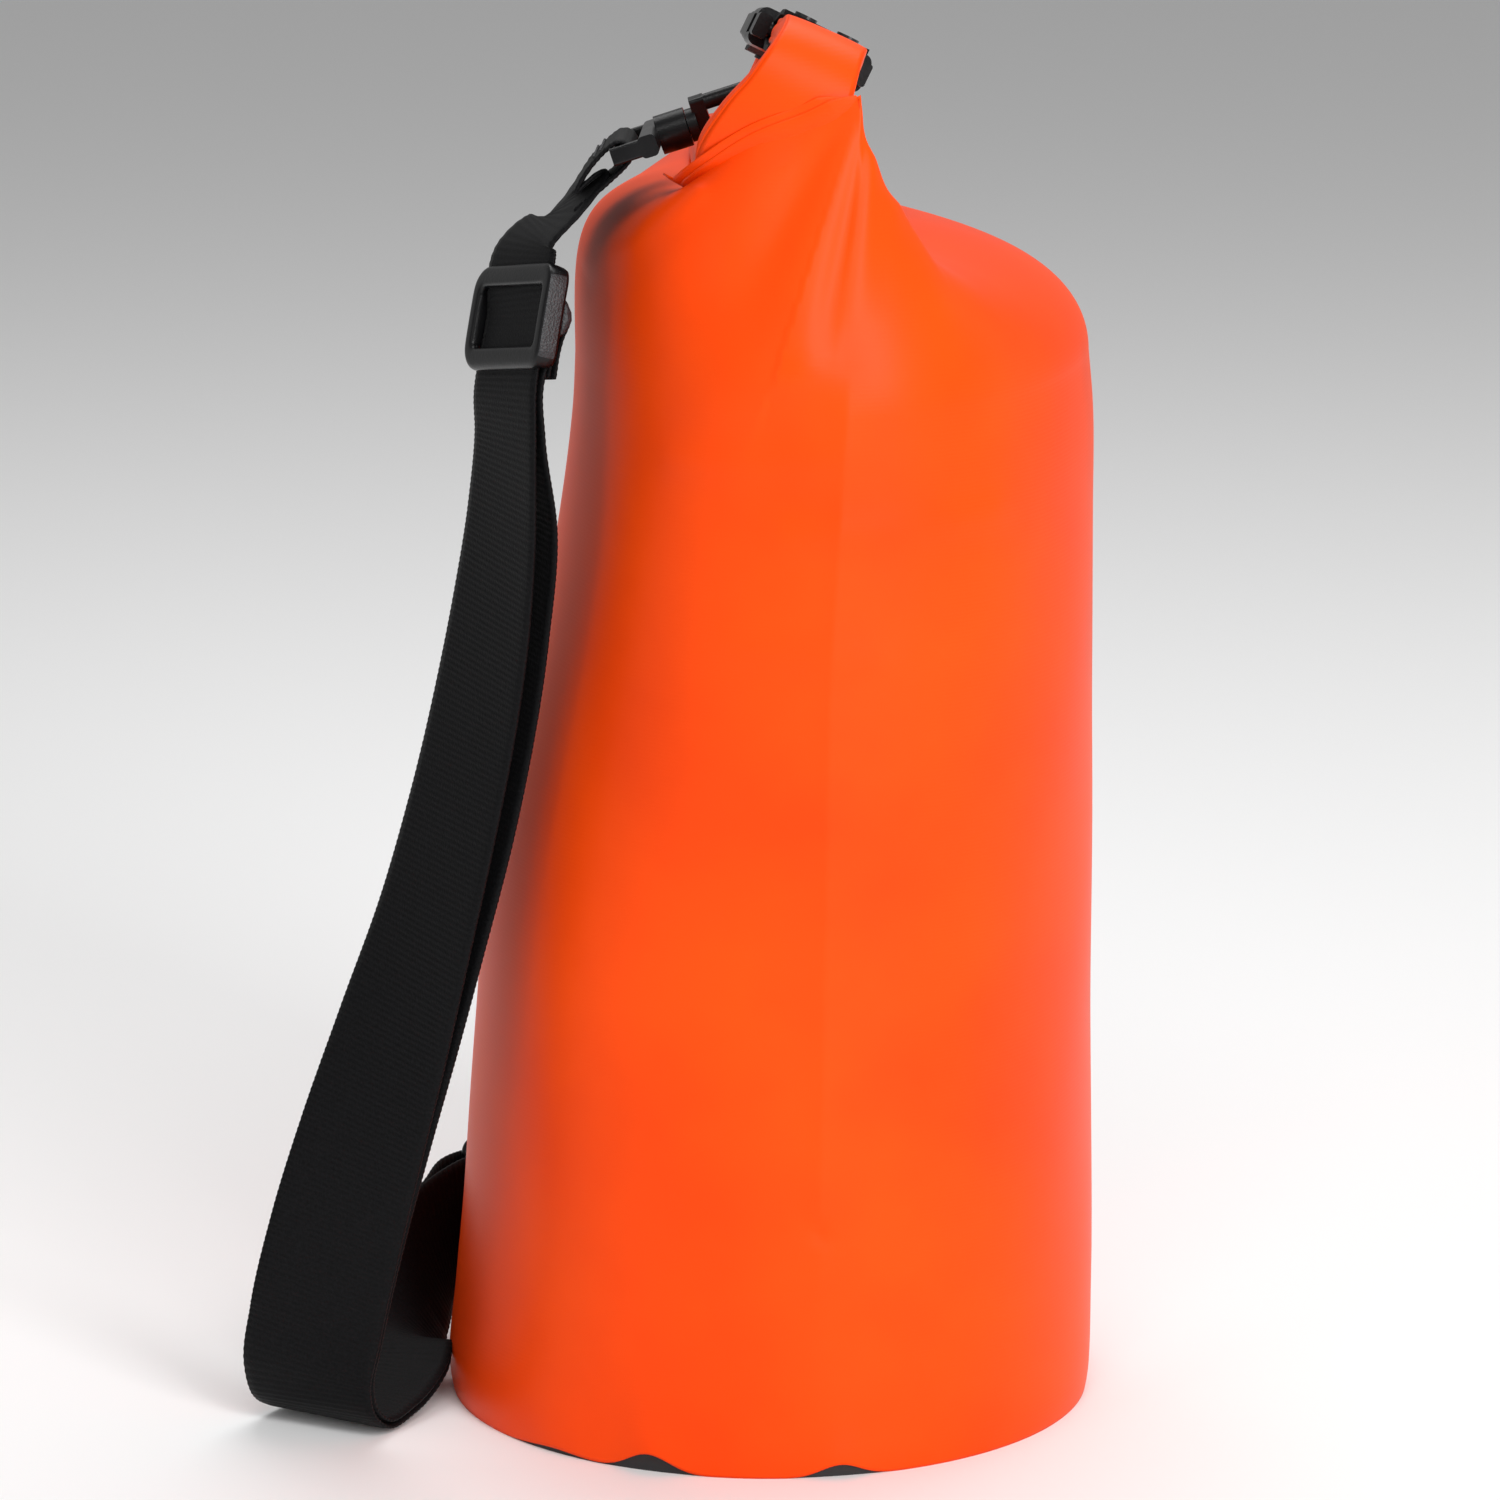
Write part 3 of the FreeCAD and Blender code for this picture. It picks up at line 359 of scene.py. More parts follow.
# scrim threads stand 1.1 mm apart: a wave repeats 20 / (2 pi) times its scale in a metre
threads = add(tree, "ShaderNodeTexWave", {"bands_direction": "Z", "Scale": 290.0, "Distortion": 0.6},
              {"Vector": place.outputs["Object"]})
grain = add(tree, "ShaderNodeTexNoise", {"Scale": 900.0, "Detail": 2.0},
            {"Vector": place.outputs["Object"]})
skin = add(tree, "ShaderNodeMix", {"data_type": "FLOAT", "Factor": 0.6},
           {2: threads.outputs["Fac"], 3: grain.outputs["Fac"]})
relief = add(tree, "ShaderNodeBump", {"Strength": 0.12, "Distance": 0.0002},
             {"Height": skin.outputs[0]})
tree.links.new(relief.outputs["Normal"], shader.inputs["Normal"])
sheen = add(tree, "ShaderNodeMapRange", {"To Min": 0.36, "To Max": 0.46},
            {"Value": cloudy.outputs["Fac"]})
tree.links.new(sheen.outputs["Result"], shader.inputs["Roughness"])
shader.inputs["IOR"].default_value = 1.53
shader.inputs["Specular IOR Level"].default_value = 0.12
body.data.materials.append(coated)
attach(body, "bag")
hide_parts("bag_tube")


# ---- Base disc -----------------------------------------------------------------------------------
# A disc of the same tarpaulin with an upturned flange, welded inside the tube's hem, coloured near
# black: painted shade for the dark hollows under the puckers of the hem. It shows only at the puckers of
# the hem and from below.
disc_painted_shade, tree, shader = start_material("base_disc_near_black_painted_shade")
place = add(tree, "ShaderNodeTexCoord")
grain = add(tree, "ShaderNodeTexNoise", {"Scale": 600.0, "Detail": 3.0},
            {"Vector": place.outputs["Object"]})
# near-black ramp: painted shade for the hollows under the lifted hem, varied a little by the grain noise
shade = add(tree, "ShaderNodeValToRGB", None, {"Fac": grain.outputs["Fac"]})
shade.color_ramp.elements[0].color = linear("#0C0C0D")
shade.color_ramp.elements[1].color = linear("#1B1B1D")
tree.links.new(shade.outputs["Color"], shader.inputs["Base Color"])
relief = add(tree, "ShaderNodeBump", {"Strength": 0.3, "Distance": 0.0003},
             {"Height": grain.outputs["Fac"]})
tree.links.new(relief.outputs["Normal"], shader.inputs["Normal"])
shader.inputs["Roughness"].default_value = 0.5
shader.inputs["IOR"].default_value = 1.53


def finish_node(node, material):
    """Gives a carried-over piece its real finish."""
    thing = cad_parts[node]
    if not thing.material_slots:
        thing.data.materials.append(material)
    for material_slot in thing.material_slots:
        material_slot.material = material


# the disc gets the near-black painted shade
finish_node("base_disc", disc_painted_shade)


# ---- Mouth roll ----------------------------------------------------------------------------------
# The flattened mouth is rolled down over its two stiffening strips, so the band is many layers of
# tarpaulin thick, and its ends are bent up and over to meet at the buckle.
BUCKLE_DIP = radians(8.2)
# the roll's runs and bends, from its end at the far side of the buckle to its end at the near side
FAR_END, FOOT_RUN, NEAR_RISE, NEAR_END = 35.0, 112.0, 5.0, 18.0
TIGHT_BEND, WIDE_BEND = 14.0, 27.0
FAR_TIP_U, FAR_TIP_H = -29.35, 32.85
ROLL_STEP = 1.5


def roll_line():
    """Centre line of the roll from its far end to its near end, as u, h and heading."""
    u, h, a = FAR_TIP_U, FAR_TIP_H, np.pi + BUCKLE_DIP
    moves = [(FAR_END, 0, 0), (0, TIGHT_BEND, np.pi - BUCKLE_DIP), (FOOT_RUN, 0, 0),
             (0, WIDE_BEND, np.pi / 2), (NEAR_RISE, 0, 0), (0, TIGHT_BEND, np.pi / 2 + BUCKLE_DIP),
             (NEAR_END, 0, 0)]
    line = [(u, h, a)]
    for run, radius, turning in moves:
        steps = int(max(2, round((run if run else radius * turning) / ROLL_STEP)))
        for k in range(steps):
            if run:
                u, h = u + np.cos(a) * run / steps, h + np.sin(a) * run / steps
            else:
                half = turning / steps / 2
                chord = 2 * radius * np.sin(half)
                u, h = u + np.cos(a + half) * chord, h + np.sin(a + half) * chord
                a += 2 * half
            line.append((u, h, a))
    return np.array(line)


centre_line = roll_line()
gone = np.concatenate([[0], np.cumsum(np.hypot(*np.diff(centre_line[:, :2], axis=0).T))])
length = gone[-1]
# place along the roll, half width, half thickness, sideways shift, extra thickness on the outside
ROLL_FORM = [
    (0.0, 12.8, 4.3, 0, 0), (0.05, 12.8, 4.6, 0.5, 0), (0.12, 11.5, 4.9, 3, 0), (0.20, 11.5, 4.8, 5, 0),
    (0.28, 13.0, 4.6, 3, 0), (0.36, 15.0, 4.5, 0, 0), (0.55, 15.2, 4.5, 0, 0), (0.66, 15.2, 4.5, 0, 0),
    (0.73, 15.0, 4.5, -0.3, 0), (0.775, 18.0, 4.6, -1.2, 0.3), (0.82, 17.0, 4.6, -1.0, 0.6),
    (0.86, 14.2, 4.6, -0.6, 1.2), (0.905, 11.9, 4.4, -0.6, 1.9), (0.93, 12.2, 4.3, -0.3, 1.6),
    (0.955, 12.6, 4.3, 0, 0.2), (0.98, 12.6, 4.2, 0, 0), (1.0, 12.6, 4.2, 0, 0)]
form = curve_through(ROLL_FORM, gone / length)
# outline of the band, as shares of its half width and half thickness: slightly crowned flat faces,
# and folded edges where three layers show one on another
ACROSS, ROUND_EDGE = 22, 24
FLAT, CROWN, LAYER_RIDGE = 0.93, 0.10, 0.025
half_outline = []
for k in range(ACROSS + 1):
    x = -1 + 2 * k / ACROSS
    half_outline.append((x * FLAT, 1 - CROWN * abs(x)**3))
for k in range(1, ROUND_EDGE):
    a = np.pi / 2 - np.pi * k / ROUND_EDGE
    ridge = LAYER_RIDGE * abs(np.sin(3 * (a + np.pi / 2)))
    half_outline.append((FLAT - 0.02 + (1 - FLAT) * np.cos(a) + ridge, (1 - CROWN) * np.sin(a)))
half_outline = np.array(half_outline)
outline = np.concatenate([half_outline, -half_outline])


def capped_faces(rows, around):
    """Faces of such a grid with both of its ends closed."""
    ends = [tuple(reversed(range(around))), tuple(range((rows - 1) * around, rows * around))]
    return grid_faces(rows, around) + ends


rings = []
for (u, h, a), (wide, thick, shift, extra) in zip(centre_line, form):
    left = np.array([-np.sin(a), np.cos(a)])
    b = outline[:, 0] * wide + shift
    lift = outline[:, 1] * thick - np.where(outline[:, 1] < 0, extra, 0) * (1 + 0.3 * outline[:, 0])
    rings.append(hoop(np.stack([u + left[0] * lift, h + left[1] * lift, b], axis=1)))
rings = np.array(rings)
roll = make_object("rolled_mouth", rings.reshape(-1, 3) * MM,
                   capped_faces(len(rings), len(outline)))
roll.data.materials.append(coated)
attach(roll, "bag")
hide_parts("mouth_roll")

# the last fold of the mouth lies doubled along the foot of the band; its section is given as
# shares of its height, upwards and outwards
LIP_STEPS = 110
LIP_SECTION = [(-1.6, -0.6), (-1.2, 0.1), (0.0, 0.6), (0.6, 0.6), (0.95, 0.4), (1.0, 0.0), (0.9, -0.5)]
for name, g0, g1, rise, stand in (("last_fold_outer", 0.003, 0.150, 2.4, 0.7),
                                  ("last_fold_inner", 0.010, 0.165, 4.6, 0.2)):
    at = np.linspace(g0, g1, LIP_STEPS)
    u_h = curve_through(SEAT, at)
    foot = hoop(u_h)
    along = unit(np.gradient(foot, axis=0))
    middle = hoop(np.stack([np.clip(u_h[:, 0], -60, 50), np.clip(u_h[:, 1], 27, 45), u_h[:, 2]],
                           axis=1))
    face = foot - middle
    face = unit(face - along * np.sum(face * along, axis=1, keepdims=True))
    up = np.cross(face, along)
    up *= np.sign(np.sum(up * HOOP_H, axis=1, keepdims=True) + 1e-9)
    taper = np.clip(np.minimum(at - g0, g1 - at) / 0.02, 0.05, 1)[:, None]**0.5
    strip = []
    for s, f in LIP_SECTION:
        strip.append(foot + up * (rise * s * taper) + face * ((stand + 0.6 * f) * taper))
    strip = np.array(strip).transpose(1, 0, 2)
    lip = make_object(name, strip.reshape(-1, 3) * MM, capped_faces(LIP_STEPS, len(LIP_SECTION)))
    lip.data.materials.append(coated)
    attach(lip, "bag")


# ---- Stiffening strips ---------------------------------------------------------------------------
# Two thin strips of extruded polyethylene lie in the core of the roll and keep its edge straight.
strip_plastic, tree, shader = start_material("extruded_polyethylene")
place = add(tree, "ShaderNodeTexCoord")
grain = add(tree, "ShaderNodeTexNoise", {"Scale": 300.0}, {"Vector": place.outputs["Object"]})
shade = add(tree, "ShaderNodeValToRGB", None, {"Fac": grain.outputs["Fac"]})
shade.color_ramp.elements[0].color = linear("#C9C9C4")
shade.color_ramp.elements[1].color = linear("#DCDCD8")
tree.links.new(shade.outputs["Color"], shader.inputs["Base Color"])
shader.inputs["Roughness"].default_value = 0.45
shader.inputs["IOR"].default_value = 1.51
STRIP_HALF_WIDTH, STRIP_HALF_THICKNESS, STRIP_STAND = 8.0, 0.5, 0.7
for name, stand in (("stiffener_strip_inner", STRIP_STAND), ("stiffener_strip_outer", -STRIP_STAND)):
    high, low = stand + STRIP_HALF_THICKNESS, stand - STRIP_HALF_THICKNESS
    corner = np.array([(STRIP_HALF_WIDTH, high), (STRIP_HALF_WIDTH, low), (-STRIP_HALF_WIDTH, low),
                       (-STRIP_HALF_WIDTH, high)])
    rings = []
    for (u, h, a), (wide, thick, shift, extra) in list(zip(centre_line, form))[4:-4]:
        rings.append(hoop(np.stack([u - np.sin(a) * corner[:, 1], h + np.cos(a) * corner[:, 1],
                                    corner[:, 0] + shift], axis=1)))
    rings = np.array(rings)
    strip = make_object(name + "_extruded", rings.reshape(-1, 3) * MM,
                        capped_faces(len(rings), len(corner)), smooth=False)
    strip.data.materials.append(strip_plastic)
    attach(strip, "bag")
    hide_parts(name)


# ---- Buckle, hook and rings ----------------------------------------------------------------------
# These fittings are injection-moulded black acetal: satin faces with soft reflections of the lamps,
# and a fine texture from the mould that breaks up the sheen.
acetal, tree, shader = start_material("acetal_injection_moulded")
place = add(tree, "ShaderNodeTexCoord")
grain = add(tree, "ShaderNodeTexNoise", {"Scale": 1100.0, "Detail": 2.0},
            {"Vector": place.outputs["Object"]})
flow = add(tree, "ShaderNodeTexNoise", {"Scale": 90.0, "Detail": 2.0},
           {"Vector": place.outputs["Object"]})
shade = add(tree, "ShaderNodeValToRGB", None, {"Fac": flow.outputs["Fac"]})
shade.color_ramp.elements[0].color = linear("#050506")
shade.color_ramp.elements[1].color = linear("#0C0C0E")
tree.links.new(shade.outputs["Color"], shader.inputs["Base Color"])
relief = add(tree, "ShaderNodeBump", {"Strength": 0.25, "Distance": 0.0002},
             {"Height": grain.outputs["Fac"]})
tree.links.new(relief.outputs["Normal"], shader.inputs["Normal"])
gloss = add(tree, "ShaderNodeMapRange", {"To Min": 0.24, "To Max": 0.38},
            {"Value": flow.outputs["Fac"]})
tree.links.new(gloss.outputs["Result"], shader.inputs["Roughness"])
shader.inputs["Specular IOR Level"].default_value = 0.3
shader.inputs["IOR"].default_value = 1.48
for node in ("buckle_female", "buckle_male", "buckle_prong_right", "buckle_prong_left", "hook_base",
             "hook_body", "hook_gate", "upper_ring", "lower_ring"):
    finish_node(node, acetal)

# the gate's pin is drawn steel wire
steel, tree, shader = start_material("steel_wire_drawn")
place = add(tree, "ShaderNodeTexCoord")
grain = add(tree, "ShaderNodeTexNoise", {"Scale": 800.0}, {"Vector": place.outputs["Object"]})
worn = add(tree, "ShaderNodeMapRange", {"To Min": 0.25, "To Max": 0.45},
           {"Value": grain.outputs["Fac"]})
tree.links.new(worn.outputs["Result"], shader.inputs["Roughness"])
shader.inputs["Base Color"].default_value = linear("#B9BBBD")
shader.inputs["Metallic"].default_value = 1.0
finish_node("hook_gate_pin", steel)

# rivets of the buckle tabs are black-lacquered brass
lacquered, tree, shader = start_material("black_lacquered_brass")
place = add(tree, "ShaderNodeTexCoord")
grain = add(tree, "ShaderNodeTexNoise", {"Scale": 700.0}, {"Vector": place.outputs["Object"]})
worn = add(tree, "ShaderNodeMapRange", {"To Min": 0.2, "To Max": 0.4},
           {"Value": grain.outputs["Fac"]})
tree.links.new(worn.outputs["Result"], shader.inputs["Roughness"])
shader.inputs["Base Color"].default_value = linear("#151517")
finish_node("tab_rivets", lacquered)


# ---- Shoulder strap ------------------------------------------------------------------------------
# One length of ribbed polypropylene webbing, 40 mm wide: sewn round the hook's eye, down through
# the slider, round the lower ring and back up on the inside to the slider's middle bar.
STRAP_WIDTH = 40.0
WEB_THICK = 1.5
RIB = 1.7
RIB_DEPTH = 0.20
RIB_SPREAD = 0.006
SELVEDGE = 0.93
SELVEDGE_THINNING = 0.45
LAYER_STEP = 2.0
STAND_OFF = 4.5

# dyed polypropylene: near black, with hardly any shine, and slightly paler flecks of fibre
webbing, tree, shader = start_material("polypropylene_webbing_woven")
place = add(tree, "ShaderNodeTexCoord")
fibre = add(tree, "ShaderNodeTexNoise", {"Scale": 1500.0, "Detail": 3.0},
            {"Vector": place.outputs["Object"]})
shade = add(tree, "ShaderNodeValToRGB", None, {"Fac": fibre.outputs["Fac"]})
shade.color_ramp.elements[0].position = 0.35
shade.color_ramp.elements[0].color = linear("#050506")
shade.color_ramp.elements[1].position = 0.75
shade.color_ramp.elements[1].color = linear("#101012")
tree.links.new(shade.outputs["Color"], shader.inputs["Base Color"])
relief = add(tree, "ShaderNodeBump", {"Strength": 0.5, "Distance": 0.0003},
             {"Height": fibre.outputs["Fac"]})
tree.links.new(relief.outputs["Normal"], shader.inputs["Normal"])
shader.inputs["Roughness"].default_value = 0.62
shader.inputs["IOR"].default_value = 1.49
shader.inputs["Specular IOR Level"].default_value = 0.12
shader.inputs["Sheen Weight"].default_value = 0.02
shader.inputs["Sheen Roughness"].default_value = 0.4


def weave(name, middles, acrosses, width, thick=WEB_THICK):
    """Ribbed webbing along a smooth line of middles, each with its direction across."""
    middles, acrosses = np.array(middles, float), np.array(acrosses, float)
    steps = np.concatenate([[0], np.cumsum(np.linalg.norm(np.diff(middles, axis=0), axis=1))])
    count = int(steps[-1] / RIB) * 4 + 1
    at = np.linspace(0, steps[-1], count)
    keys = np.concatenate([steps[:, None], middles, acrosses], axis=1)
    line = curve_through(keys, at)
    middle, across = line[:, :3], line[:, 3:]
    along = unit(np.gradient(middle, axis=0))
    across = unit(across - along * np.sum(along * across, axis=1, keepdims=True))
    face = np.cross(along, across)
    columns = 16
    loops = []
    rib = 0.5 - 0.5 * np.cos(at / RIB * 2 * np.pi)
    for side in (1, -1):
        for k in range(columns + 1):
            s = -1 + 2 * k / columns
            edge = max(0.0, (abs(s) - SELVEDGE) / (1 - SELVEDGE))
            half = thick / 2 * (1 - RIB_DEPTH + RIB_DEPTH * rib) * (1 - SELVEDGE_THINNING * edge**2)
            grow = 1 + RIB_SPREAD * rib * edge
            loops.append(middle + across * (side * s * width / 2 * grow)[:, None]
                         + face * (side * half)[:, None])
    grid = np.array(loops).transpose(1, 0, 2)
    piece = make_object(name, grid.reshape(-1, 3) * MM, capped_faces(count, 2 * (columns + 1)))
    piece.data.materials.append(webbing)
    return piece


def square_to(direction, axis):
    """The unit direction nearest to the given one that is square to the axis."""
    direction = np.asarray(direction, float)
    return unit(direction - axis * (direction @ axis))


SLIDER_AT = np.array([-68.5, -52.0, 317.0])
SLIDER_DOWN = unit([-0.16, -0.26, -0.95])
SLIDER_ACROSS = square_to([0.44, -0.88, 0.17], SLIDER_DOWN)
SLIDER_FACE = np.cross(SLIDER_DOWN, SLIDER_ACROSS)
SLIDER_RUN = 21.0
EYE = np.array([-40.07, -38.0, 361.63])
EYE_ACROSS = unit([-0.016399, -0.998591, 0.05047])
top = SLIDER_AT - SLIDER_DOWN * SLIDER_RUN
LEAD = square_to(top - EYE, EYE_ACROSS)
EYE_OUT = np.cross(LEAD, EYE_ACROSS)
EYE_OFF = 3.15
# middle of the webbing and its direction across, from below the slider to near the lower ring
STRAP_LINE = [
    ((-71.8, -58.5, 286), (0.43, -0.89, 0.11)), ((-73.0, -58.5, 262), (0.48, -0.87, 0.05)),
    ((-76.5, -57, 233), (0.55, -0.83, 0.0)), ((-81.5, -56, 205), (0.60, -0.80, 0.0)),
    ((-88.0, -57, 176), (0.64, -0.77, 0.0)), ((-95.5, -58, 147), (0.69, -0.72, -0.02)),
    ((-104.0, -58, 118), (0.79, -0.61, -0.03)), ((-113.0, -58, 88), (0.87, -0.49, -0.04)),
    ((-121.0, -57, 59), (0.92, -0.39, -0.05)), ((-127.0, -55, 33), (0.93, -0.37, -0.04)),
    ((-129.5, -53, 17), (0.90, -0.43, -0.02)), ((-128.0, -50, 8), (0.88, -0.47, 0.0)),
    ((-124.0, -43, 2.6), (0.87, -0.49, -0.02)), ((-117.0, -31, 3.8), (0.83, -0.55, -0.06)),
    ((-111.0, -17, 9.0), (0.60, -0.75, -0.25)), ((-110.5, -2, 16.5), (0.15, -0.80, -0.58)),
    ((-104.5, 13, 24), (0.0, -0.50, -0.86)), ((-99.0, 25, 31), (0.0, -0.20, -0.98))]
LOW_BAR = np.array([-88.302, 44.565, 34.0])
LOW_OUT = np.array([np.cos(radians(148)), np.sin(radians(148)), 0.0])
LOW_AWAY = np.array([-0.5299, -0.8480, 0.0])
LOW_WIRE, TURN_GAP = 1.7, 0.2
LOW_OFF = LOW_WIRE + TURN_GAP + WEB_THICK / 2
DOWN = np.array([0.0, 0.0, -1.0])

# the slider is moulded with broad rounded end bars in front of the webbing, side rails that deepen
# behind it, and a round middle bar; its side faces keep the mould's spark-eroded texture
eroded, tree, shader = start_material("acetal_spark_eroded")
place = add(tree, "ShaderNodeTexCoord")
pits = add(tree, "ShaderNodeTexVoronoi", {"Scale": 1600.0}, {"Vector": place.outputs["Object"]})
shade = add(tree, "ShaderNodeValToRGB", None, {"Fac": pits.outputs["Distance"]})
shade.color_ramp.elements[0].color = linear("#141416")
shade.color_ramp.elements[1].color = linear("#303033")
tree.links.new(shade.outputs["Color"], shader.inputs["Base Color"])
relief = add(tree, "ShaderNodeBump", {"Strength": 0.5, "Distance": 0.0003},
             {"Height": pits.outputs["Distance"]})
tree.links.new(relief.outputs["Normal"], shader.inputs["Normal"])
shader.inputs["Roughness"].default_value = 0.5
shader.inputs["IOR"].default_value = 1.48


def rounded_rectangle(half_x, half_y, radius, corner_steps=7, side_steps=8):
    corners = []
    for quarter, (sx, sy) in enumerate(((1, 1), (-1, 1), (-1, -1), (1, -1))):
        a = np.pi / 2 * (quarter + np.arange(corner_steps) / (corner_steps - 1))
        corners.append(np.stack([sx * (half_x - radius) + radius * np.cos(a),
                                 sy * (half_y - radius) + radius * np.sin(a)], axis=1))
    line = []
    for corner, following in zip(corners, corners[1:] + corners[:1]):
        line.extend(corner)
        for k in range(1, side_steps):
            line.append(corner[-1] + (following[0] - corner[-1]) * (k / side_steps))
    return np.array(line)


def slider_point(x, y, z):
    """A point of the slider from its places down, across and out of its face."""
    return SLIDER_AT + SLIDER_DOWN * x + SLIDER_ACROSS * y + SLIDER_FACE * z


HALF_LONG, HALF_WIDE, CORNER = 14.6, 25.0, 6.5
HOLE_HALF_LONG, HOLE_HALF_WIDE, HOLE_CORNER = 8.4, 20.6, 2.2
FRAME_TOP, RAIL_FOOT, BAR_FOOT = 3.7, -2.4, 1.15
RAIL_FROM = 20.55
END_DROP = 0.9
# section of the frame from its outer edge to its inner edge: share inwards, and share of the height
# above the foot of the bars, which is negative on the underside
FRAME_SECTION = [(0, -1), (0, 0.5), (0.04, 0.8), (0.14, 0.96), (0.3, 1), (0.7, 1), (0.86, 0.96),
                 (0.96, 0.8), (1, 0.5), (1, -1), (0.9, -1.1), (0.1, -1.1)]
outer = rounded_rectangle(HALF_LONG, HALF_WIDE, CORNER)
inner = rounded_rectangle(HOLE_HALF_LONG, HOLE_HALF_WIDE, HOLE_CORNER)
points = []
for o, i in zip(outer, inner):
    for s, rise in FRAME_SECTION:
        x, y = o * (1 - s) + i * s
        drop = END_DROP * (x / HALF_LONG)**4
        if rise > 0:
            z = BAR_FOOT + (FRAME_TOP - BAR_FOOT) * rise - drop
        elif abs(y) < RAIL_FROM:
            z = BAR_FOOT
        else:
            z = RAIL_FOOT + 0.3 * (1 + rise) - drop
        points.append(slider_point(x, y, z))
frame_faces = []
section = len(FRAME_SECTION)
for j in range(len(outer)):
    for i in range(section):
        n, k = (j + 1) % len(outer), (i + 1) % section
        frame_faces.append((j * section + i, j * section + k, n * section + k, n * section + i))
# cheeks under the rails, and the middle bar between them
CHEEK = [(-7.5, -1.8), (-5.0, -3.6), (-2.6, -5.6), (0, -6.1), (2.6, -5.6), (5.0, -3.6), (7.5, -1.8)]
CHEEK_FROM, CHEEK_TO = 20.8, 24.4
for side in (-1, 1):
    base, size = len(points), len(CHEEK)
    for y in (CHEEK_FROM, CHEEK_TO):
        for x, z in CHEEK:
            points.append(slider_point(x, side * y, z))
    frame_faces.append(tuple(range(base, base + size)))
    frame_faces.append(tuple(reversed(range(base + size, base + 2 * size))))
    for i in range(size):
        k = (i + 1) % size
        frame_faces.append((base + i, base + size + i, base + size + k, base + k))
BAR_RADIUS, BAR_HALF_LONG = 1.4, 23.0
BAR_ROWS, BAR_ROUND = 5, 20
BAR_DEPTH = LAYER_STEP + BAR_RADIUS + TURN_GAP + WEB_THICK / 2
base = len(points)
for y in np.linspace(-BAR_HALF_LONG, BAR_HALF_LONG, BAR_ROWS):
    for k in range(BAR_ROUND):
        a = 2 * np.pi * k / BAR_ROUND
        points.append(slider_point(BAR_RADIUS * np.cos(a), y, BAR_RADIUS * np.sin(a) - BAR_DEPTH))
for face in capped_faces(BAR_ROWS, BAR_ROUND):
    frame_faces.append(tuple(base + corner for corner in face))
slider = make_object("slider_moulded", np.array(points) * MM, frame_faces)
slider.data.materials.append(acetal)
slider.data.materials.append(eroded)
ERODED_FROM = 24.0
for polygon in slider.data.polygons:
    spot = (np.array(polygon.center) / MM - SLIDER_AT) @ SLIDER_ACROSS
    if abs(spot) > ERODED_FROM and abs(np.array(polygon.normal) @ SLIDER_ACROSS) > 0.8:
        polygon.material_index = 1
smooth_corners = slider.modifiers.new("moulded_corners", "SUBSURF")
smooth_corners.levels = smooth_corners.render_levels = 1
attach(slider, "slider")
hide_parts("slider_frame")

# the strap's line is put together station by station, each a middle and its direction across
middles, acrosses = [], []


def station(middle, across):
    middles.append(np.asarray(middle, float))
    acrosses.append(unit(across))


station(EYE - EYE_OUT * 1.5 + LEAD * 19.5, EYE_ACROSS * 0.8 + SLIDER_ACROSS * 0.2)
station(EYE - EYE_OUT * EYE_OFF + LEAD * 8, EYE_ACROSS)
for k in range(9):
    a = np.pi * k / 8
    station(EYE + (-EYE_OUT * np.cos(a) - LEAD * np.sin(a)) * EYE_OFF, EYE_ACROSS)
station(EYE + EYE_OUT * EYE_OFF + LEAD * 8, EYE_ACROSS)
station(EYE + EYE_OUT * 0.5 + LEAD * 19.5, EYE_ACROSS * 0.8 + SLIDER_ACROSS * 0.2)
station(EYE * 0.3 + top * 0.7, EYE_ACROSS * 0.3 + SLIDER_ACROSS * 0.7)
station(top, SLIDER_ACROSS)
station(SLIDER_AT, SLIDER_ACROSS)
station(SLIDER_AT + SLIDER_DOWN * SLIDER_RUN, SLIDER_ACROSS)
outer_start = len(middles) - 1
for m, w in STRAP_LINE:
    station(m, w)
station(LOW_BAR + LOW_OUT * LOW_OFF + LOW_AWAY * 8, DOWN)
station(LOW_BAR + LOW_OUT * LOW_OFF, DOWN)
outer_end = len(middles)
run = np.array(middles)
sideways = np.array(acrosses)
heading = unit(np.gradient(run, axis=0))
outer_face = unit(np.cross(heading, sideways))
for k in range(1, 9):
    a = np.pi * k / 8
    station(LOW_BAR + (LOW_OUT * np.cos(a) - LOW_AWAY * np.sin(a)) * LOW_OFF, DOWN)
station(LOW_BAR - LOW_OUT * LOW_OFF + LOW_AWAY * 8, DOWN)
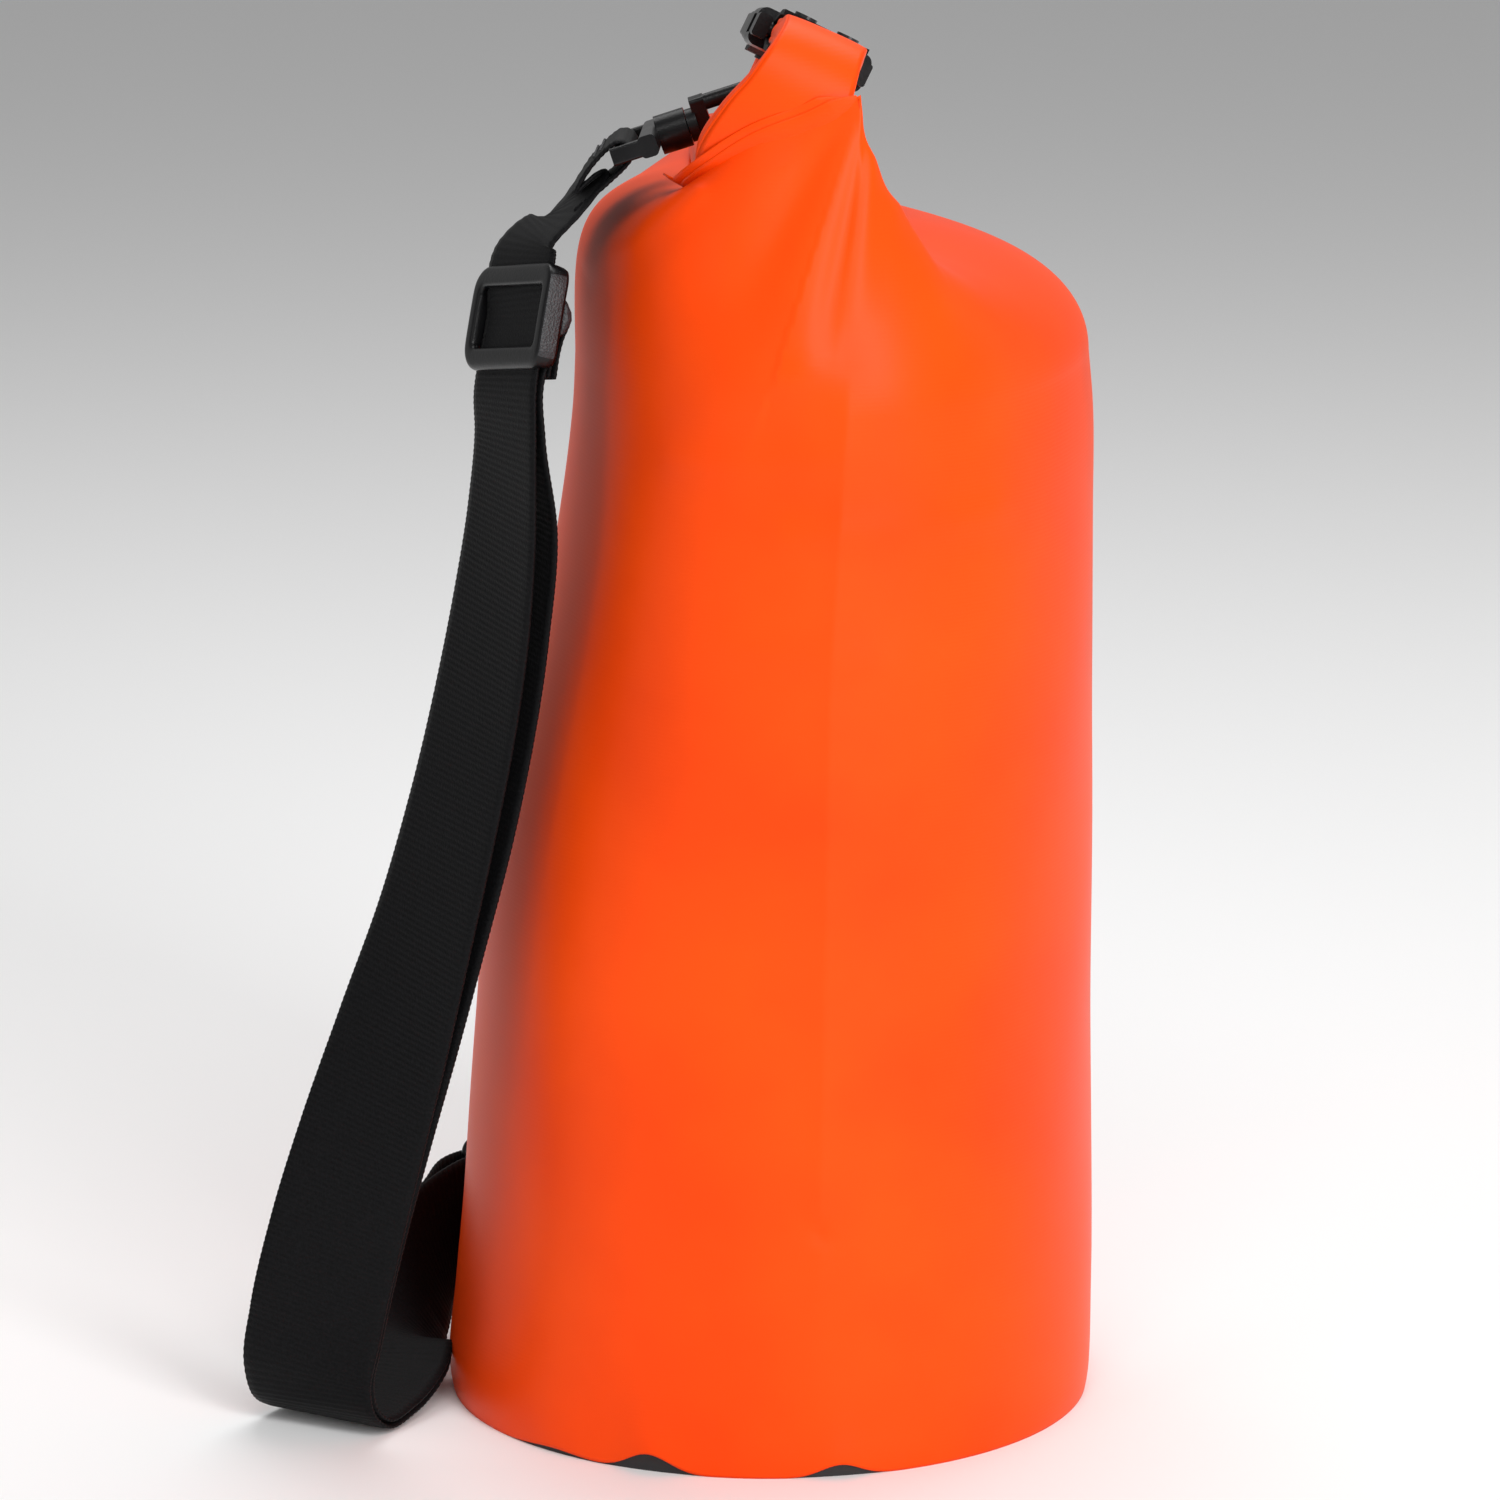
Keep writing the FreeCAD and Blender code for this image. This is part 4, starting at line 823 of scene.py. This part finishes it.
# the run back up lies behind the first one, and stands off it where the two hang free
for k in range(outer_end - 3, outer_start - 1, -1):
    height = run[k][2]
    free = np.clip((290 - height) / 25, 0, 1) * np.clip((height - 60) / 120, 0, 1)
    apart = LAYER_STEP + STAND_OFF * free
    station(run[k] - outer_face[k] * apart, sideways[k])
station(SLIDER_AT + SLIDER_DOWN * 11.0 - SLIDER_FACE * LAYER_STEP, SLIDER_ACROSS)
strap = weave("shoulder_strap", middles, acrosses, STRAP_WIDTH)
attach(strap, "bag")
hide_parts("strap_webbing")

# the end of the webbing is sewn round the slider's middle bar and moves with the slider
LOOP_BAR = SLIDER_AT - SLIDER_FACE * BAR_DEPTH
LOOP_WIDTH, LOOP_THICK, LOOP_TURN = 39.0, 1.4, 2.3
middles, acrosses = [], []
for s in (16.0, 8.0, 5.0):
    gap = 0.95 if s > 5.5 else 1.3
    station(LOOP_BAR + SLIDER_DOWN * s + SLIDER_FACE * gap, SLIDER_ACROSS)
for k in range(9):
    a = np.pi * k / 8
    station(LOOP_BAR + (SLIDER_FACE * np.cos(a) - SLIDER_DOWN * np.sin(a)) * LOOP_TURN,
            SLIDER_ACROSS)
for s in (5.0, 8.0, 16.0):
    gap = 0.95 if s > 5.5 else 1.3
    station(LOOP_BAR + SLIDER_DOWN * s - SLIDER_FACE * gap, SLIDER_ACROSS)
end_loop = weave("strap_end_loop_sewn", middles, acrosses, LOOP_WIDTH, LOOP_THICK)
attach(end_loop, "slider")
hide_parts("strap_end_loop")

# tabs of the same webbing hold the buckle and both rings
for node in ("buckle_tab_near", "buckle_tab_far", "upper_ring_tab", "lower_ring_tab"):
    finish_node(node, webbing)

# bonded polyester thread in box stitches across the overlap
thread, tree, shader = start_material("polyester_thread_bonded")
place = add(tree, "ShaderNodeTexCoord")
ply = add(tree, "ShaderNodeTexWave", {"bands_direction": "Y", "Scale": 600.0},
          {"Vector": place.outputs["Object"]})
shade = add(tree, "ShaderNodeValToRGB", None, {"Fac": ply.outputs["Fac"]})
shade.color_ramp.elements[0].color = linear("#141416")
shade.color_ramp.elements[1].color = linear("#303034")
tree.links.new(shade.outputs["Color"], shader.inputs["Base Color"])
shader.inputs["Roughness"].default_value = 0.5
finish_node("strap_stitches", thread)
finish_node("lower_patch", coated)
